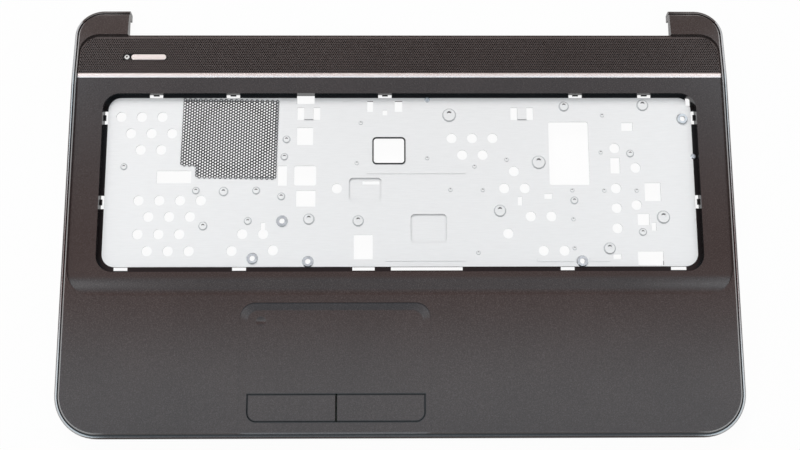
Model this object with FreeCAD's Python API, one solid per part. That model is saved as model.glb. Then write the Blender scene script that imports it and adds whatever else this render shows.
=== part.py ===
import FreeCAD, Part
import math
import os
from FreeCAD import Vector

# Laptop palm rest (top cover) of a 17.3 inch notebook, in millimetres.
# +X is the user's right, +Y the hinge side, +Z up. It rests on its rim at z = 0, centred in X and Y.

# Overall outline
WIDTH = 412.0
DEPTH = 268.0
FRONT_CORNER_R = 26.5
REAR_CORNER_R = 17.5

# Heights of the main surfaces
BEAD_TOP = 12.0
PALM_TOP = 13.5
DECK_TOP = 12.0
RIM_DRAFT_TOP = 4.0
RIM_DRAFT = 1.0

# Rim: a bead runs round the raised cap behind a narrow groove, and the cap leaves a rail round the deck
CAP_INSET = 2.7
GROOVE_WIDTH = 0.8
GROOVE_DEPTH = 1.0
RAIL_WIDTH = 1.3
BEAD_ROUND = 1.6
CAP_EDGE = 0.9

# Moulding walls
SKIN = 2.0
SIDE_WALL = 3.0
WELL_WALL = 2.0

# Keyboard well: how far it lies from the sides, the front edge and the trim
SIDE_DECK = 20.8
PALM_DEPTH = 99.3
REAR_DECK = 10.2

# The ledge in the well and the stamped plate that lies on it
LEDGE_TOP = 6.9
LEDGE_THICKNESS = 1.2
LEDGE_LIP = 3.5
PLATE_SIDE_GAP = 2.4
PLATE_FRONT_GAP = 3.5
PLATE_REAR_GAP = 1.8
PLATE_THICKNESS = 0.5
PLATE_CORNER_R = 8.0

# Slope from the deck up to the palm rest
SLOPE_LENGTH = 13.8
SLOPE_SETBACK = 0.7
RECESS_FRONT_R = 17.0
RECESS_REAR_R = 12.0

# Speaker strip behind the trim, falling to the rear
TRIM_SETBACK = 46.2
TRIM_WIDTH = 2.9
TRIM_PROUD = 0.25
TRIM_SEAT = 0.8
TRIM_CROWN = 0.35
STRIP_TILT = 8.0
GRILLE_THICKNESS = 0.8
STRIP_WEB = 1.5
REAR_LIP = 0.6
EDGE_GAP = 0.2

# Hinge ears and the gap between them
EAR_WIDTH = 33.75
HINGE_GAP_DEPTH = 17.2
EAR_TOP_FRONT = 10.2
EAR_TOP_REAR = 7.6
EAR_WALL = 4.4
BEAD_STEP = 1.2
ROOF_BLEND = 4.0
HINGE_HOLE_START = 1.5
HINGE_HOLE_LENGTH = 10.0
HINGE_HOLE_TOP = 4.4

# Touchpad recess, from the front edge to a gap before the slope
PAD_CENTRE_X = -39.3
PAD_WIDTH = 114.2
PAD_REAR_GAP = 4.7
PAD_DEPTH = 0.7
PAD_SLOPE = 4.3
PAD_CORNER_R = 9.0
DIMPLE_FROM_SIDE = 12.5
DIMPLE_FROM_REAR = 11.0
DIMPLE_R = 3.0
DIMPLE_DEPTH = 0.35

# Click buttons in the front of that recess
CLICK_FROM_LEFT = 5.2
CLICK_FROM_RIGHT = 3.6
CLICK_FROM_FRONT = 10.0
CLICK_DEPTH = 15.9
CLICK_SPLIT_GAP = 0.7
CLICK_GAP = 0.35
CLICK_CORNER_R = 5.5
CLICK_PROUD = 0.15
CLICK_EDGE = 0.3
CLICK_FLANGE = 1.2
CLICK_FLANGE_THICKNESS = 0.7
CLICK_WALL = 1.4
CLICK_SKIN = 1.2
CLICK_TRAVEL = 0.4
STOP_GAP = 0.3
PLUNGER_DROP = 0.9
SWITCH_INSET = 26.0

# Power button and its light
POWER_FROM_SIDE = 47.75
POWER_LENGTH = 21.9
POWER_WIDTH = 3.7
POWER_ALONG = 11.1
POWER_PROUD = 0.5
POWER_EDGE = 0.35
POWER_FLANGE = 1.2
POWER_FLANGE_THICKNESS = 0.8
LED_OFFSET = 13.7
LED_R = 1.5
LED_HEIGHT = 0.6

# Printed boards, switches and fasteners
BOARD_THICKNESS = 0.8
BOARD_END = 12.0
BOARD_LAP = 1.5
SWITCH_LENGTH = 5.0
SWITCH_WIDTH = 4.0
SWITCH_HEIGHT = 1.7
STEM_R = 1.1
PLUNGER_R = 1.6
STEM_GAP = 0.08
STEM_PROUD = 0.7
STEM_DEPTH = 0.6
BRACKET_THICKNESS = 0.5
BRACKET_END = 3.4
CHIP_SIDE = 10.0
CHIP_HEIGHT = 0.9
SOCKET_WALL = 0.35
POST_R = 2.4
POST_OUTSIDE_LEFT = 2.2
POST_OUTSIDE_RIGHT = 3.8
POWER_POST_GAP = 5.0
POWER_BOARD_WIDTH = 8.0
SCREW_R = 1.0
SCREW_HEAD_R = 2.2
SCREW_HEAD = 0.9
SCREW_PLAY = 0.05
SCREW_TIP_GAP = 0.8
SOCKET_ASIDE = 4.0
POWER_SOCKET = (7.0, 4.0, 1.4)
CLICK_SOCKET = (8.0, 4.0, 1.3)
PAD_SOCKET_ASIDE = 19.3
PAD_SOCKET_IN = 12.1
PAD_SOCKET = (12.0, 4.5, 1.6)
PAD_BOARD_IN = 7.0
PAD_BOARD_GAP = 3.0
BOSS_R = 3.2
BOSS_BOTTOM = 1.0
BOSS_SIDE_GAP = 6.3
BOSS_WALL_GAP = 0.8
BOSS_CORNER_X = 16.0
BOSS_CORNER_Y = 17.0
MIDDLE_BOSS_X = 60.0
MIDDLE_BOSS_Y = 14.0
INSERT_R = 2.1
INSERT_LENGTH = 4.0
INSERT_FIT = 0.04
THREAD_R = 1.25

# Sides of the small rounds that repeat
HOLE_SIDES = 16
BOSS_SIDES = 12
SMALL_SIDES = 8

# Corners of the plate that the places below were taken on: x0, x1, y0, y1.
# Holes, windows and bosses lie between the keys, so their places spread with the plate.
KEY_FIELD = (-182.8, 182.8, -31.2, 75.8)

# Round cooling holes in the plate: x of the first, x of the last, y
HOLE_R = 3.15
HOLE_PITCH = 12.8
HOLE_ROWS = [
    (-174.5, -148.9, 63.5),
    (-168.1, -142.5, 52.9),
    (-161.7, -148.9, 42.4),
    (-161.7, -123.3, 10.2),
    (-155.3, -129.7, 0.0),
    (-161.5, -135.9, -10.9),
    (-155.4, -129.8, -21.4),
    (-97.3, -84.5, -10.8),
    (-103.6, -103.6, -21.3),
    (-78.3, -78.3, -20.9),
    (-39.4, -39.4, 17.7),
    (32.1, 57.7, 49.7),
    (38.6, 51.4, 39.0),
    (70.7, 70.7, 28.5),
    (64.4, 77.2, 17.7),
    (80.5, 93.3, 0.0),
    (66.4, 66.4, -10.7),
    (88.0, 100.8, -21.4),
    (133.9, 133.9, 43.2),
    (146.6, 146.6, 30.7),
    (133.9, 133.9, 17.6),
    (133.9, 133.9, 5.2),
    (146.3, 146.3, 7.1),
    (133.9, 133.9, -7.5),
]

# Cut-outs in the plate: x0, x1, y0, y1, corner radius
PLATE_WINDOWS = [
    (-151.1, -129.7, 21.1, 29.0, 0.0),
    (-76.1, -70.4, 19.5, 32.1, 0.0),
    (-66.0, -52.3, 19.6, 32.1, 1.4),
    (-64.6, -54.5, 45.4, 56.6, 0.0),
    (-64.6, -52.6, 6.3, 16.4, 0.0),
    (-20.7, -17.1, 66.8, 73.8, 0.0),
    (-3.4, 1.3, 66.8, 73.8, 0.0),
    (-11.0, -8.2, 64.6, 68.0, 0.0),
    (92.8, 117.7, 19.8, 60.2, 1.2),
    (138.8, 145.8, 54.4, 59.7, 0.0),
    (131.0, 136.8, 27.1, 37.1, 0.0),
    (151.7, 161.6, 9.6, 21.1, 0.0),
    (146.6, 153.8, -5.6, 1.6, 0.0),
    (155.1, 157.9, -9.0, -3.9, 0.0),
    (145.8, 161.5, -30.4, -21.9, 0.0),
    (89.2, 94.2, 11.0, 14.3, 0.0),
    (72.7, 75.4, 6.9, 12.5, 0.0),
    (-28.8, -17.1, -26.6, -11.4, 0.0),
    (-86.0, -83.3, -8.3, -3.6, 0.0),
    (130.7, 135.7, -26.6, -23.6, 0.0),
]

# Bridge lances, a raised tongue between two slots: x, y
LANCES = [
    (-57.35, 65.6),
    (76.4, 65.5),
]
LANCE_TONGUE = 5.8
LANCE_SLOT = 4.2
LANCE_LENGTH = 8.0
LANCE_HEIGHT = 0.7

# Pressed bosses on the plate: x, y, foot radius
BIG_BOSSES = [
    (30.7, 64.6, 4.6),
    (86.2, 34.2, 4.6),
    (61.5, 3.5, 4.1),
    (162.5, -0.6, 4.4),
    (128.5, -20.1, 4.0),
    (152.5, 71.0, 4.0),
    (102.9, 70.2, 3.5),
    (-26.1, -2.7, 3.8),
    (-56.5, -1.6, 3.8),
]
MEDIUM_BOSSES = [
    (-71.0, 49.0, 2.8),
    (-72.2, 37.9, 2.7),
    (-126.5, 16.4, 2.7),
    (-109.4, 15.8, 3.3),
    (-89.3, 16.4, 2.8),
    (-73.7, 12.7, 2.8),
    (-121.5, -5.8, 3.1),
    (-94.0, -2.7, 2.8),
    (143.5, 39.8, 2.8),
    (107.7, 10.0, 2.8),
    (149.4, -9.9, 2.8),
    (-171.6, 31.6, 2.5),
]
SMALL_BOSSES = [
    (-24.7, 59.7),
    (-27.1, 33.9),
    (16.8, 37.0),
    (31.0, 16.9),
    (126.9, 64.6),
    (46.1, 31.7),
    (66.2, 36.0),
    (51.1, 16.7),
    (106.6, 16.5),
    (126.5, 16.3),
    (146.7, 16.3),
    (125.2, 40.7),
    (106.8, -1.7),
    (47.8, -22.6),
    (107.0, -19.8),
]
BIG_BOSS_HEIGHT = 0.8
MEDIUM_BOSS_HEIGHT = 0.6
SMALL_BOSS_HEIGHT = 0.4
SMALL_BOSS_R = 1.5
SMALL_BOSS_TAPER = 0.4
BOSS_TAPER = 1.0
BOSS_DISH = 0.3
BOSS_DISH_SHARE = 0.35

# Raised stiffening pads on the plate: x0, x1, y0, y1
PLATE_PADS = [
    (-20.8, 40.7, 27.0, 30.4),
    (-9.5, 40.2, -27.8, -24.7),
    (83.8, 106.5, -28.2, -26.2),
    (116.0, 128.5, -28.2, -26.2),
]
PAD_HEIGHT = 0.25

# Pressed-down pockets: x0, x1, y0, y1
PLATE_POCKETS = [
    (6.3, 28.5, -16.3, 1.5),
    (-31.9, -11.8, 9.6, 24.4),
]
POCKET_DEPTH = 0.9
POCKET_R = 2.5
POCKET_SLOT = (-23.6, -13.0, 20.4, 22.6)

# Window with rubber edging
WINDOW = (-17.5, 3.3, 33.0, 50.5)
WINDOW_R = 2.6
EDGING_WIDTH = 0.9
EDGING_PROUD = 0.3
EDGING_FIT = 0.05

# Fan opening and the perforated sheet over it: x0, x1, y0, y1, and its stepped corner
FAN_FIELD = (-137.3, -76.5, 23.6, 75.2)
FAN_STEP = (-127.3, 31.4)
MESH_THICKNESS = 0.4
MESH_BORDER = 1.4
MESH_PITCH = 5.9
MESH_HOLE_R = 2.5

# Standoff rings swaged into the plate and rivets: x, y
STANDOFF_PLACES = [
    (-73.0, -2.8),
    (-90.8, -26.0),
    (-56.8, -28.0),
    (111.4, -28.0),
    (177.2, 62.1),
]
STANDOFF_R = 3.6
STANDOFF_HOLE_R = 1.7
STANDOFF_HEIGHT = 1.2
STANDOFF_TAPER = 0.6
RIVET_PLACES = [
    (17.0, 74.6),
    (183.0, 37.9),
]
RIVET_HEAD_R = 1.7
RIVET_SHANK_R = 0.8
RIVET_HEAD = 0.6
RIVET_TAIL_R = 1.3
RIVET_TAIL = 0.4
RIVET_PLAY = 0.05

# Slots through the ledge for the keyboard's tabs
LATCH_CENTRES_REAR = [-153.3, -105.0, -9.6, 110.5, 154.0]
LATCH_CENTRES_SIDE = [9.2, 63.1]
LATCH_LENGTH = 8.5
LATCH_DEPTH = 2.2
LATCH_HOOK = 3.6
LATCH_HOOK_DEPTH = 0.9
LATCH_HEIGHT = 1.6
LATCH_OFFSET = 0.15
FRONT_SLOTS = [
    (-175.5, -166.8),
    (-103.1, -94.5),
    (-29.6, -15.9),
    (-6.0, 38.0),
    (98.1, 106.7),
    (165.8, 175.5),
]
FRONT_SLOT_DEPTH = 2.1
# Windows that reach behind the rear line or before the front one go through the ledge too
OPEN_LEDGE_REAR = 72.0
OPEN_LEDGE_FRONT = -28.0
NOTCH_FIELD = (-64.9, -53.8)
NOTCH_IN = 3.9
CORNER_NOTCH = (2.9, 5.1)

# Speaker windows in the web under the grille: how far past the power board's post, and size
SPEAKER_GAP = 16.3
SPEAKER_LENGTH = 62.0
SPEAKER_WIDTH = 14.0
SPEAKER_START = 5.0

# Ribs under the palm rest
RIB_THICKNESS = 1.2
RIB_HEIGHT = 2.2
RIB_PITCH = 35.0
RIB_END_LEFT = 41.0
RIB_END_RIGHT = 51.0
RIB_PAD_GAP = 15.0
RIB_FIRST_Y = 46.0
RIB_STEP_Y = 22.0

HALF_X = WIDTH / 2
FRONT = -DEPTH / 2
REAR = DEPTH / 2
CAP_X = HALF_X - CAP_INSET
CAP_FRONT = FRONT + CAP_INSET
CAP_REAR = REAR - CAP_INSET
DECK_X = CAP_X - RAIL_WIDTH
CEILING = PALM_TOP - SKIN
DECK_CEILING = DECK_TOP - SKIN
TRIM_FRONT = REAR - TRIM_SETBACK
STRIP_Y0 = TRIM_FRONT + TRIM_WIDTH
NOTCH_REAR = REAR - HINGE_GAP_DEPTH
EAR_FRONT = NOTCH_REAR + EDGE_GAP
EAR_INNER_X = HALF_X - EAR_WIDTH
GRILLE_REAR = NOTCH_REAR - REAR_LIP
WELL_HALF_X = HALF_X - SIDE_DECK
WELL_FRONT = FRONT + PALM_DEPTH
WELL_REAR = TRIM_FRONT - REAR_DECK
PLATE_HALF_X = WELL_HALF_X - PLATE_SIDE_GAP
PLATE_FRONT = WELL_FRONT + PLATE_FRONT_GAP
PLATE_REAR = WELL_REAR - PLATE_REAR_GAP
PLATE_TOP = LEDGE_TOP + PLATE_THICKNESS
RECESS_FRONT = WELL_FRONT - SLOPE_LENGTH - SLOPE_SETBACK
SLOPE_END = RECESS_FRONT + SLOPE_LENGTH
PAD_LEFT = PAD_CENTRE_X - PAD_WIDTH / 2
PAD_RIGHT = PAD_CENTRE_X + PAD_WIDTH / 2
PAD_REAR = RECESS_FRONT - PAD_REAR_GAP
PAD_FLOOR = PALM_TOP - PAD_DEPTH
CLICK_LEFT = PAD_LEFT + CLICK_FROM_LEFT
CLICK_RIGHT = PAD_RIGHT - CLICK_FROM_RIGHT
CLICK_SPLIT_X = (CLICK_LEFT + CLICK_RIGHT) / 2
CLICK_FRONT = FRONT + CLICK_FROM_FRONT
CLICK_REAR = CLICK_FRONT + CLICK_DEPTH
CLICK_MID_Y = (CLICK_REAR + CLICK_FRONT) / 2
CLICK_TOP = PAD_FLOOR + CLICK_PROUD
CLICK_FLANGE_TOP = CEILING - STOP_GAP
CLICK_FLANGE_BOTTOM = CLICK_FLANGE_TOP - CLICK_FLANGE_THICKNESS
CLICK_STEM_TOP = CLICK_FLANGE_BOTTOM - PLUNGER_DROP
CLICK_SWITCH_TOP = CLICK_STEM_TOP - STEM_PROUD
CLICK_BOARD_TOP = CLICK_SWITCH_TOP - SWITCH_HEIGHT
CLICK_BOARD_BOTTOM = CLICK_BOARD_TOP - BOARD_THICKNESS
POWER_X = -HALF_X + POWER_FROM_SIDE
SWITCH_PLACES = [(CLICK_LEFT + SWITCH_INSET, CLICK_MID_Y), (CLICK_RIGHT - SWITCH_INSET, CLICK_MID_Y)]
PAD_BOARD_FRONT = CLICK_REAR + PAD_BOARD_GAP
WEB_BOTTOM = -GRILLE_THICKNESS - STRIP_WEB
POWER_FLANGE_TOP = WEB_BOTTOM - STOP_GAP
POWER_FLANGE_BOTTOM = POWER_FLANGE_TOP - POWER_FLANGE_THICKNESS
POWER_SWITCH_TOP = POWER_FLANGE_BOTTOM - STEM_PROUD
POWER_BOARD_TOP = POWER_SWITCH_TOP - SWITCH_HEIGHT
POWER_BOARD_BOTTOM = POWER_BOARD_TOP - BOARD_THICKNESS
LED_X = POWER_X - LED_OFFSET
POWER_POSTS = [LED_X - POWER_POST_GAP, POWER_X + POWER_LENGTH / 2 + POWER_POST_GAP]
SPEAKER_X = -POWER_POSTS[1] - SPEAKER_GAP - SPEAKER_LENGTH / 2
PALM_RIB_Y = FRONT + RIB_FIRST_Y
TAN_TILT = math.tan(math.radians(STRIP_TILT))
FAR = 30.0

# Places of the screw bosses under the cover: x, y
REAR_BOSS_X = HALF_X - SIDE_WALL - BOSS_R - BOSS_SIDE_GAP
REAR_BOSS_Y = WELL_REAR + WELL_WALL + BOSS_R + BOSS_WALL_GAP
BOSS_PLACES = [
    (-HALF_X + BOSS_CORNER_X, FRONT + BOSS_CORNER_Y),
    (MIDDLE_BOSS_X, FRONT + MIDDLE_BOSS_Y),
    (HALF_X - BOSS_CORNER_X, FRONT + BOSS_CORNER_Y),
    (-REAR_BOSS_X, REAR_BOSS_Y),
    (0.0, REAR_BOSS_Y),
    (REAR_BOSS_X, REAR_BOSS_Y),
]


def strip_z(y):
    """Height of the speaker strip's top face."""
    return DECK_TOP - (y - STRIP_Y0) * TAN_TILT


def plan_face(x0, x1, y0, y1, r_front, r_rear, z=0.0):
    """Rectangle with rounded front and rear corners, as a face at height z."""
    corners = [(x0, y0, r_front), (x1, y0, r_front), (x1, y1, r_rear), (x0, y1, r_rear)]
    centre_x = (x0 + x1) / 2
    centre_y = (y0 + y1) / 2
    points = []
    for x, y, r in corners:
        sx = 1.0 if x < centre_x else -1.0
        sy = 1.0 if y < centre_y else -1.0
        along_x = Vector(x + sx * r, y, z)
        along_y = Vector(x, y + sy * r, z)
        bend = r * (1 - math.sqrt(0.5))
        middle = Vector(x + sx * bend, y + sy * bend, z)
        first_on_y = sx * sy > 0
        start = along_y if first_on_y else along_x
        end = along_x if first_on_y else along_y
        points.append((start, middle, end, r))
    edges = []
    for i, (start, middle, end, r) in enumerate(points):
        if r > 0:
            edges.append(Part.Arc(start, middle, end).toShape())
        following = points[(i + 1) % 4][0]
        if (following - end).Length > 1e-6:
            edges.append(Part.LineSegment(end, following).toShape())
    return Part.Face(Part.Wire(edges))


def slab(x0, x1, y0, y1, z0, z1, r_front=0.0, r_rear=None):
    """Rounded block between two heights."""
    rear = r_front if r_rear is None else r_rear
    return plan_face(x0, x1, y0, y1, r_front, rear, z0).extrude(Vector(0, 0, z1 - z0))


def cylinder(x, y, z0, z1, r):
    return Part.makeCylinder(r, z1 - z0, Vector(x, y, z0))


def polygon(x, y, z, r, sides):
    """Regular outline of the same area as a circle of radius r."""
    reach = r * math.sqrt(2 * math.pi / (sides * math.sin(2 * math.pi / sides)))
    turns = [2 * math.pi * (k + 0.5) / sides for k in range(sides + 1)]
    return Part.makePolygon([Vector(x + reach * math.cos(t), y + reach * math.sin(t), z) for t in turns])


def peg(x, y, z0, z1, r, sides=BOSS_SIDES):
    """Small round drawn with few faces, because it repeats many times."""
    return Part.Face(polygon(x, y, z0, r, sides)).extrude(Vector(0, 0, z1 - z0))


def taper(x, y, z0, z1, r0, r1, sides=BOSS_SIDES):
    return Part.makeLoft([polygon(x, y, z0, r0, sides), polygon(x, y, z1, r1, sides)], True, True)


def profile_prism(edges, x0, x1):
    """Closed outline in the YZ plane drawn out along X."""
    face = Part.Face(Part.Wire(edges))
    return face.extrude(Vector(x1 - x0, 0, 0))


def lines(points, x):
    """Straight edges through (y, z) points on the plane at x."""
    spots = [Vector(x, y, z) for y, z in points]
    return [Part.LineSegment(a, b).toShape() for a, b in zip(spots, spots[1:])]


def arc(a, b, c, x):
    """Arc through three (y, z) points on the plane at x."""
    spots = [Vector(x, y, z) for y, z in (a, b, c)]
    return Part.Arc(*spots).toShape()


def tangent_arc(a, b, slope, x):
    """Arc from a to b, both (y, z), that leaves a at the given slope angle."""
    dy = b[0] - a[0]
    dz = b[1] - a[1]
    chord = math.hypot(dy, dz)
    rise = chord / 2 * math.tan((slope - math.atan2(dz, dy)) / 2)
    middle = ((a[0] + b[0]) / 2 - rise * dz / chord, (a[1] + b[1]) / 2 + rise * dy / chord)
    return arc(a, middle, b, x)


def fuse_all(shapes):
    first, rest = shapes[0], shapes[1:]
    if not rest:
        return first
    return first.multiFuse(rest)


# The moulding

def roof_prism(level, drop):
    """Everything under the cover's roof line: level, then falling, then rolled over at the ears."""
    x = -HALF_X - 1
    ear = EAR_TOP_FRONT - drop
    slope = math.atan2(ear - level, EAR_FRONT - TRIM_FRONT)
    bend_start = (TRIM_FRONT - ROOF_BLEND, level)
    bend_end = (TRIM_FRONT + ROOF_BLEND * math.cos(slope), level + ROOF_BLEND * math.sin(slope))
    rear = (REAR + 1, EAR_TOP_REAR - drop)
    front = FRONT - 1
    edges = lines([rear, (rear[0], -1), (front, -1), (front, level), bend_start], x)
    edges.append(tangent_arc(bend_start, bend_end, 0.0, x))
    edges += lines([bend_end, (EAR_FRONT, ear)], x)
    edges.append(tangent_arc((EAR_FRONT, ear), rear, slope, x))
    return profile_prism(edges, x, HALF_X + 1)


def rim_edges(body):
    """Edges between a body's roof and its walls, all the way round."""
    roof = []
    for face in body.Faces:
        u0, u1, v0, v1 = face.ParameterRange
        if face.normalAt((u0 + u1) / 2, (v0 + v1) / 2).z > 0.7:
            roof += face.Edges
    return [edge for edge in roof if sum(edge.isSame(other) for other in roof) == 1]


def bead_tier():
    """Outer rim: drafted at its foot, upright above, rounded along its top."""
    low = plan_face(-HALF_X + RIM_DRAFT, HALF_X - RIM_DRAFT, FRONT + RIM_DRAFT, REAR - RIM_DRAFT,
                    FRONT_CORNER_R - RIM_DRAFT, REAR_CORNER_R - RIM_DRAFT, 0.0)
    wide = plan_face(-HALF_X, HALF_X, FRONT, REAR, FRONT_CORNER_R, REAR_CORNER_R, RIM_DRAFT_TOP)
    skirt = Part.makeLoft([low.OuterWire, wide.OuterWire], True, True)
    upper = wide.extrude(Vector(0, 0, BEAD_TOP)).common(roof_prism(BEAD_TOP, BEAD_STEP))
    return upper.makeFillet(BEAD_ROUND, rim_edges(upper)).fuse(skirt)


def cap_tier():
    """Raised cap inside the bead: palm rest, deck surround and ears."""
    body = slab(-CAP_X, CAP_X, CAP_FRONT, CAP_REAR, RIM_DRAFT_TOP, PALM_TOP + 1,
                FRONT_CORNER_R - CAP_INSET, REAR_CORNER_R - CAP_INSET)
    body = body.common(roof_prism(PALM_TOP, 0.0))
    return body.makeChamfer(CAP_EDGE, rim_edges(body))


def groove_space():
    """What lies inside the bead, down to the floor of the groove."""
    inset = CAP_INSET - GROOVE_WIDTH
    inside = slab(-HALF_X + inset, HALF_X - inset, FRONT + inset, REAR - inset, 0, FAR,
                  FRONT_CORNER_R - inset, REAR_CORNER_R - inset)
    return inside.cut(roof_prism(BEAD_TOP - GROOVE_DEPTH, BEAD_STEP + GROOVE_DEPTH))


def deck_cutter():
    """Space over the deck: a soft slope at its front, level, then falling over the strip."""
    x = -HALF_X - 2
    drop = PALM_TOP - DECK_TOP
    radius = (SLOPE_LENGTH ** 2 + drop ** 2) / (4 * drop)
    half = SLOPE_LENGTH / 2
    quarter = SLOPE_LENGTH / 4
    sag = radius - math.sqrt(radius ** 2 - quarter ** 2)
    start = (RECESS_FRONT, PALM_TOP)
    mid = (RECESS_FRONT + half, (PALM_TOP + DECK_TOP) / 2)
    end = (SLOPE_END, DECK_TOP)
    edges = [arc(start, (RECESS_FRONT + quarter, PALM_TOP - sag), mid, x)]
    edges.append(arc(mid, (SLOPE_END - quarter, DECK_TOP + sag), end, x))
    rear = REAR + 2
    edges += lines([end, (STRIP_Y0, DECK_TOP), (rear, strip_z(rear)), (rear, FAR), (RECESS_FRONT, FAR), start], x)
    space = profile_prism(edges, x, HALF_X + 2)
    return space.common(slab(-DECK_X, DECK_X, RECESS_FRONT, EAR_FRONT, 0, FAR, RECESS_FRONT_R, RECESS_REAR_R))


def strip_pocket():
    """Pocket for the grille, sunk under the strip's face and following its fall."""
    x = -DECK_X
    y0, y1 = STRIP_Y0, GRILLE_REAR
    front_z = strip_z(y0) - GRILLE_THICKNESS
    rear_z = strip_z(y1) - GRILLE_THICKNESS
    section = [(y0, FAR), (y0, front_z), (y1, rear_z), (y1, FAR), (y0, FAR)]
    prism = profile_prism(lines(section, x), x, DECK_X)
    return prism.common(slab(-DECK_X, DECK_X, y0, y1, -1, FAR + 1, 0.0, RECESS_REAR_R))


def touchpad_recess():
    """Shallow dish with sloped borders, running out over the front edge."""
    out = FRONT - 2 * PAD_SLOPE
    top = plan_face(PAD_LEFT, PAD_RIGHT, out, PAD_REAR, 0.0, PAD_CORNER_R, PALM_TOP + 0.01)
    floor = plan_face(PAD_LEFT + PAD_SLOPE, PAD_RIGHT - PAD_SLOPE, out + PAD_SLOPE, PAD_REAR - PAD_SLOPE,
                      0.0, PAD_CORNER_R * 0.75, PAD_FLOOR)
    dish = Part.makeLoft([floor.OuterWire, top.OuterWire], True, True)
    x = PAD_LEFT + DIMPLE_FROM_SIDE
    y = PAD_REAR - DIMPLE_FROM_REAR
    sphere_r = (DIMPLE_R ** 2 + DIMPLE_DEPTH ** 2) / (2 * DIMPLE_DEPTH)
    dimple = Part.makeSphere(sphere_r, Vector(x, y, PAD_FLOOR - DIMPLE_DEPTH + sphere_r))
    lid = slab(x - DIMPLE_R, x + DIMPLE_R, y - DIMPLE_R, y + DIMPLE_R, PAD_FLOOR - 1, PAD_FLOOR + 0.05)
    return dish.fuse(dimple.common(lid))


def underside_space():
    """Hollow under the cover, leaving skins, the well's walls and the strip's web."""
    inner_x = HALF_X - SIDE_WALL
    rear = NOTCH_REAR - SKIN
    front = CAP_FRONT
    web = (GRILLE_THICKNESS + STRIP_WEB) / math.cos(math.radians(STRIP_TILT))
    x = -inner_x
    low = DECK_CEILING - 1.0
    lap = low - 0.5
    strip_start = TRIM_FRONT - SKIN
    wide = profile_prism(lines([(front, -1), (front, low), (strip_start, low), (rear, strip_z(rear) - web),
                                (rear, -1), (front, -1)], x), x, inner_x)
    wide = wide.common(slab(-inner_x, inner_x, front, rear, -2, FAR, FRONT_CORNER_R - SIDE_WALL, 2 * SKIN))
    cap_x = CAP_X - SKIN
    palm_r = FRONT_CORNER_R - CAP_INSET - SKIN
    palm = slab(-cap_x, cap_x, CAP_FRONT + SKIN, RECESS_FRONT, lap, CEILING, palm_r, 0.0)
    before = RECESS_FRONT - 0.5
    slope_line = [(before, lap), (before, CEILING), (RECESS_FRONT, CEILING), (SLOPE_END, DECK_CEILING),
                  (SLOPE_END, lap), (before, lap)]
    slope = profile_prism(lines(slope_line, -cap_x), -cap_x, cap_x)
    deck = slab(-cap_x, cap_x, SLOPE_END - 0.5, strip_start, lap, DECK_CEILING)
    floor = lap - 3.5
    strip_line = [(strip_start - 0.5, floor), (strip_start - 0.5, DECK_CEILING), (strip_start, DECK_CEILING),
                  (STRIP_Y0, DECK_TOP - web), (rear, strip_z(rear) - web), (rear, floor),
                  (strip_start - 0.5, floor)]
    strip = profile_prism(lines(strip_line, -cap_x), -cap_x, cap_x)
    return fuse_all([wide, palm, slope, deck, strip])


def ear_space(side):
    """Hinge pocket inside one ear, open below and towards the cover's hollow."""
    x0 = EAR_INNER_X + SKIN
    x1 = HALF_X - EAR_WALL
    y0 = NOTCH_REAR - SKIN - 0.5
    y1 = CAP_REAR - SKIN
    corner_r = REAR_CORNER_R - EAR_WALL
    under = EAR_TOP_FRONT - SKIN
    under_rear = EAR_TOP_REAR - SKIN
    web_low = strip_z(GRILLE_REAR) - (GRILLE_THICKNESS + STRIP_WEB) / math.cos(math.radians(STRIP_TILT))
    wall_back = EAR_FRONT + SKIN
    under_wall = under - (under - under_rear) * SKIN / (y1 - EAR_FRONT)
    top = [(y0, -1), (y0, web_low), (wall_back, web_low), (wall_back, under_wall)]
    top += [(y1, under_rear), (y1, -1), (y0, -1)]
    prism = profile_prism(lines(top, x0), x0, x1)
    space = prism.common(plan_space(x0, x1, y0 - 1, y1, corner_r))
    shaft = slab(EAR_INNER_X - 1, x0 + 1, EAR_FRONT + HINGE_HOLE_START,
                 EAR_FRONT + HINGE_HOLE_START + HINGE_HOLE_LENGTH, -1, HINGE_HOLE_TOP)
    space = space.fuse(shaft)
    return space if side > 0 else space.mirror(Vector(0, 0, 0), Vector(1, 0, 0))


def plan_space(x0, x1, y0, y1, corner_r):
    """Upright space with one rounded corner, at its far right."""
    block = slab(x0, x1, y0, y1, -2, FAR)
    corner = slab(x1 - corner_r, x1 + 1, y1 - corner_r, y1 + 1, -3, FAR + 1)
    return block.cut(corner.cut(cylinder(x1 - corner_r, y1 - corner_r, -3, FAR + 1, corner_r)))


def well_frame():
    """Walls round the keyboard well and the ledge that carries the plate."""
    x = WELL_HALF_X + WELL_WALL
    return slab(-x, x, WELL_FRONT - WELL_WALL, WELL_REAR + WELL_WALL, LEDGE_TOP - LEDGE_THICKNESS, DECK_TOP - 0.5,
                PLATE_CORNER_R + PLATE_SIDE_GAP + WELL_WALL)


def well_space():
    """What is open: the well above the ledge and the way through inside its lip."""
    corner_r = PLATE_CORNER_R + PLATE_SIDE_GAP
    above = slab(-WELL_HALF_X, WELL_HALF_X, WELL_FRONT, WELL_REAR, LEDGE_TOP, FAR, corner_r)
    lip_x = PLATE_HALF_X - LEDGE_LIP
    through = slab(-lip_x, lip_x, PLATE_FRONT + LEDGE_LIP, PLATE_REAR - LEDGE_LIP, -1, FAR,
                   PLATE_CORNER_R - LEDGE_LIP)
    x0, x1, _, y1 = on_plate(FAN_FIELD)
    fan_relief = slab(x0 + MESH_BORDER, x1 - MESH_BORDER, PLATE_REAR - LEDGE_LIP - 1, y1 - MESH_BORDER, -1, FAR)
    return above.multiFuse([through, fan_relief])


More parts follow.
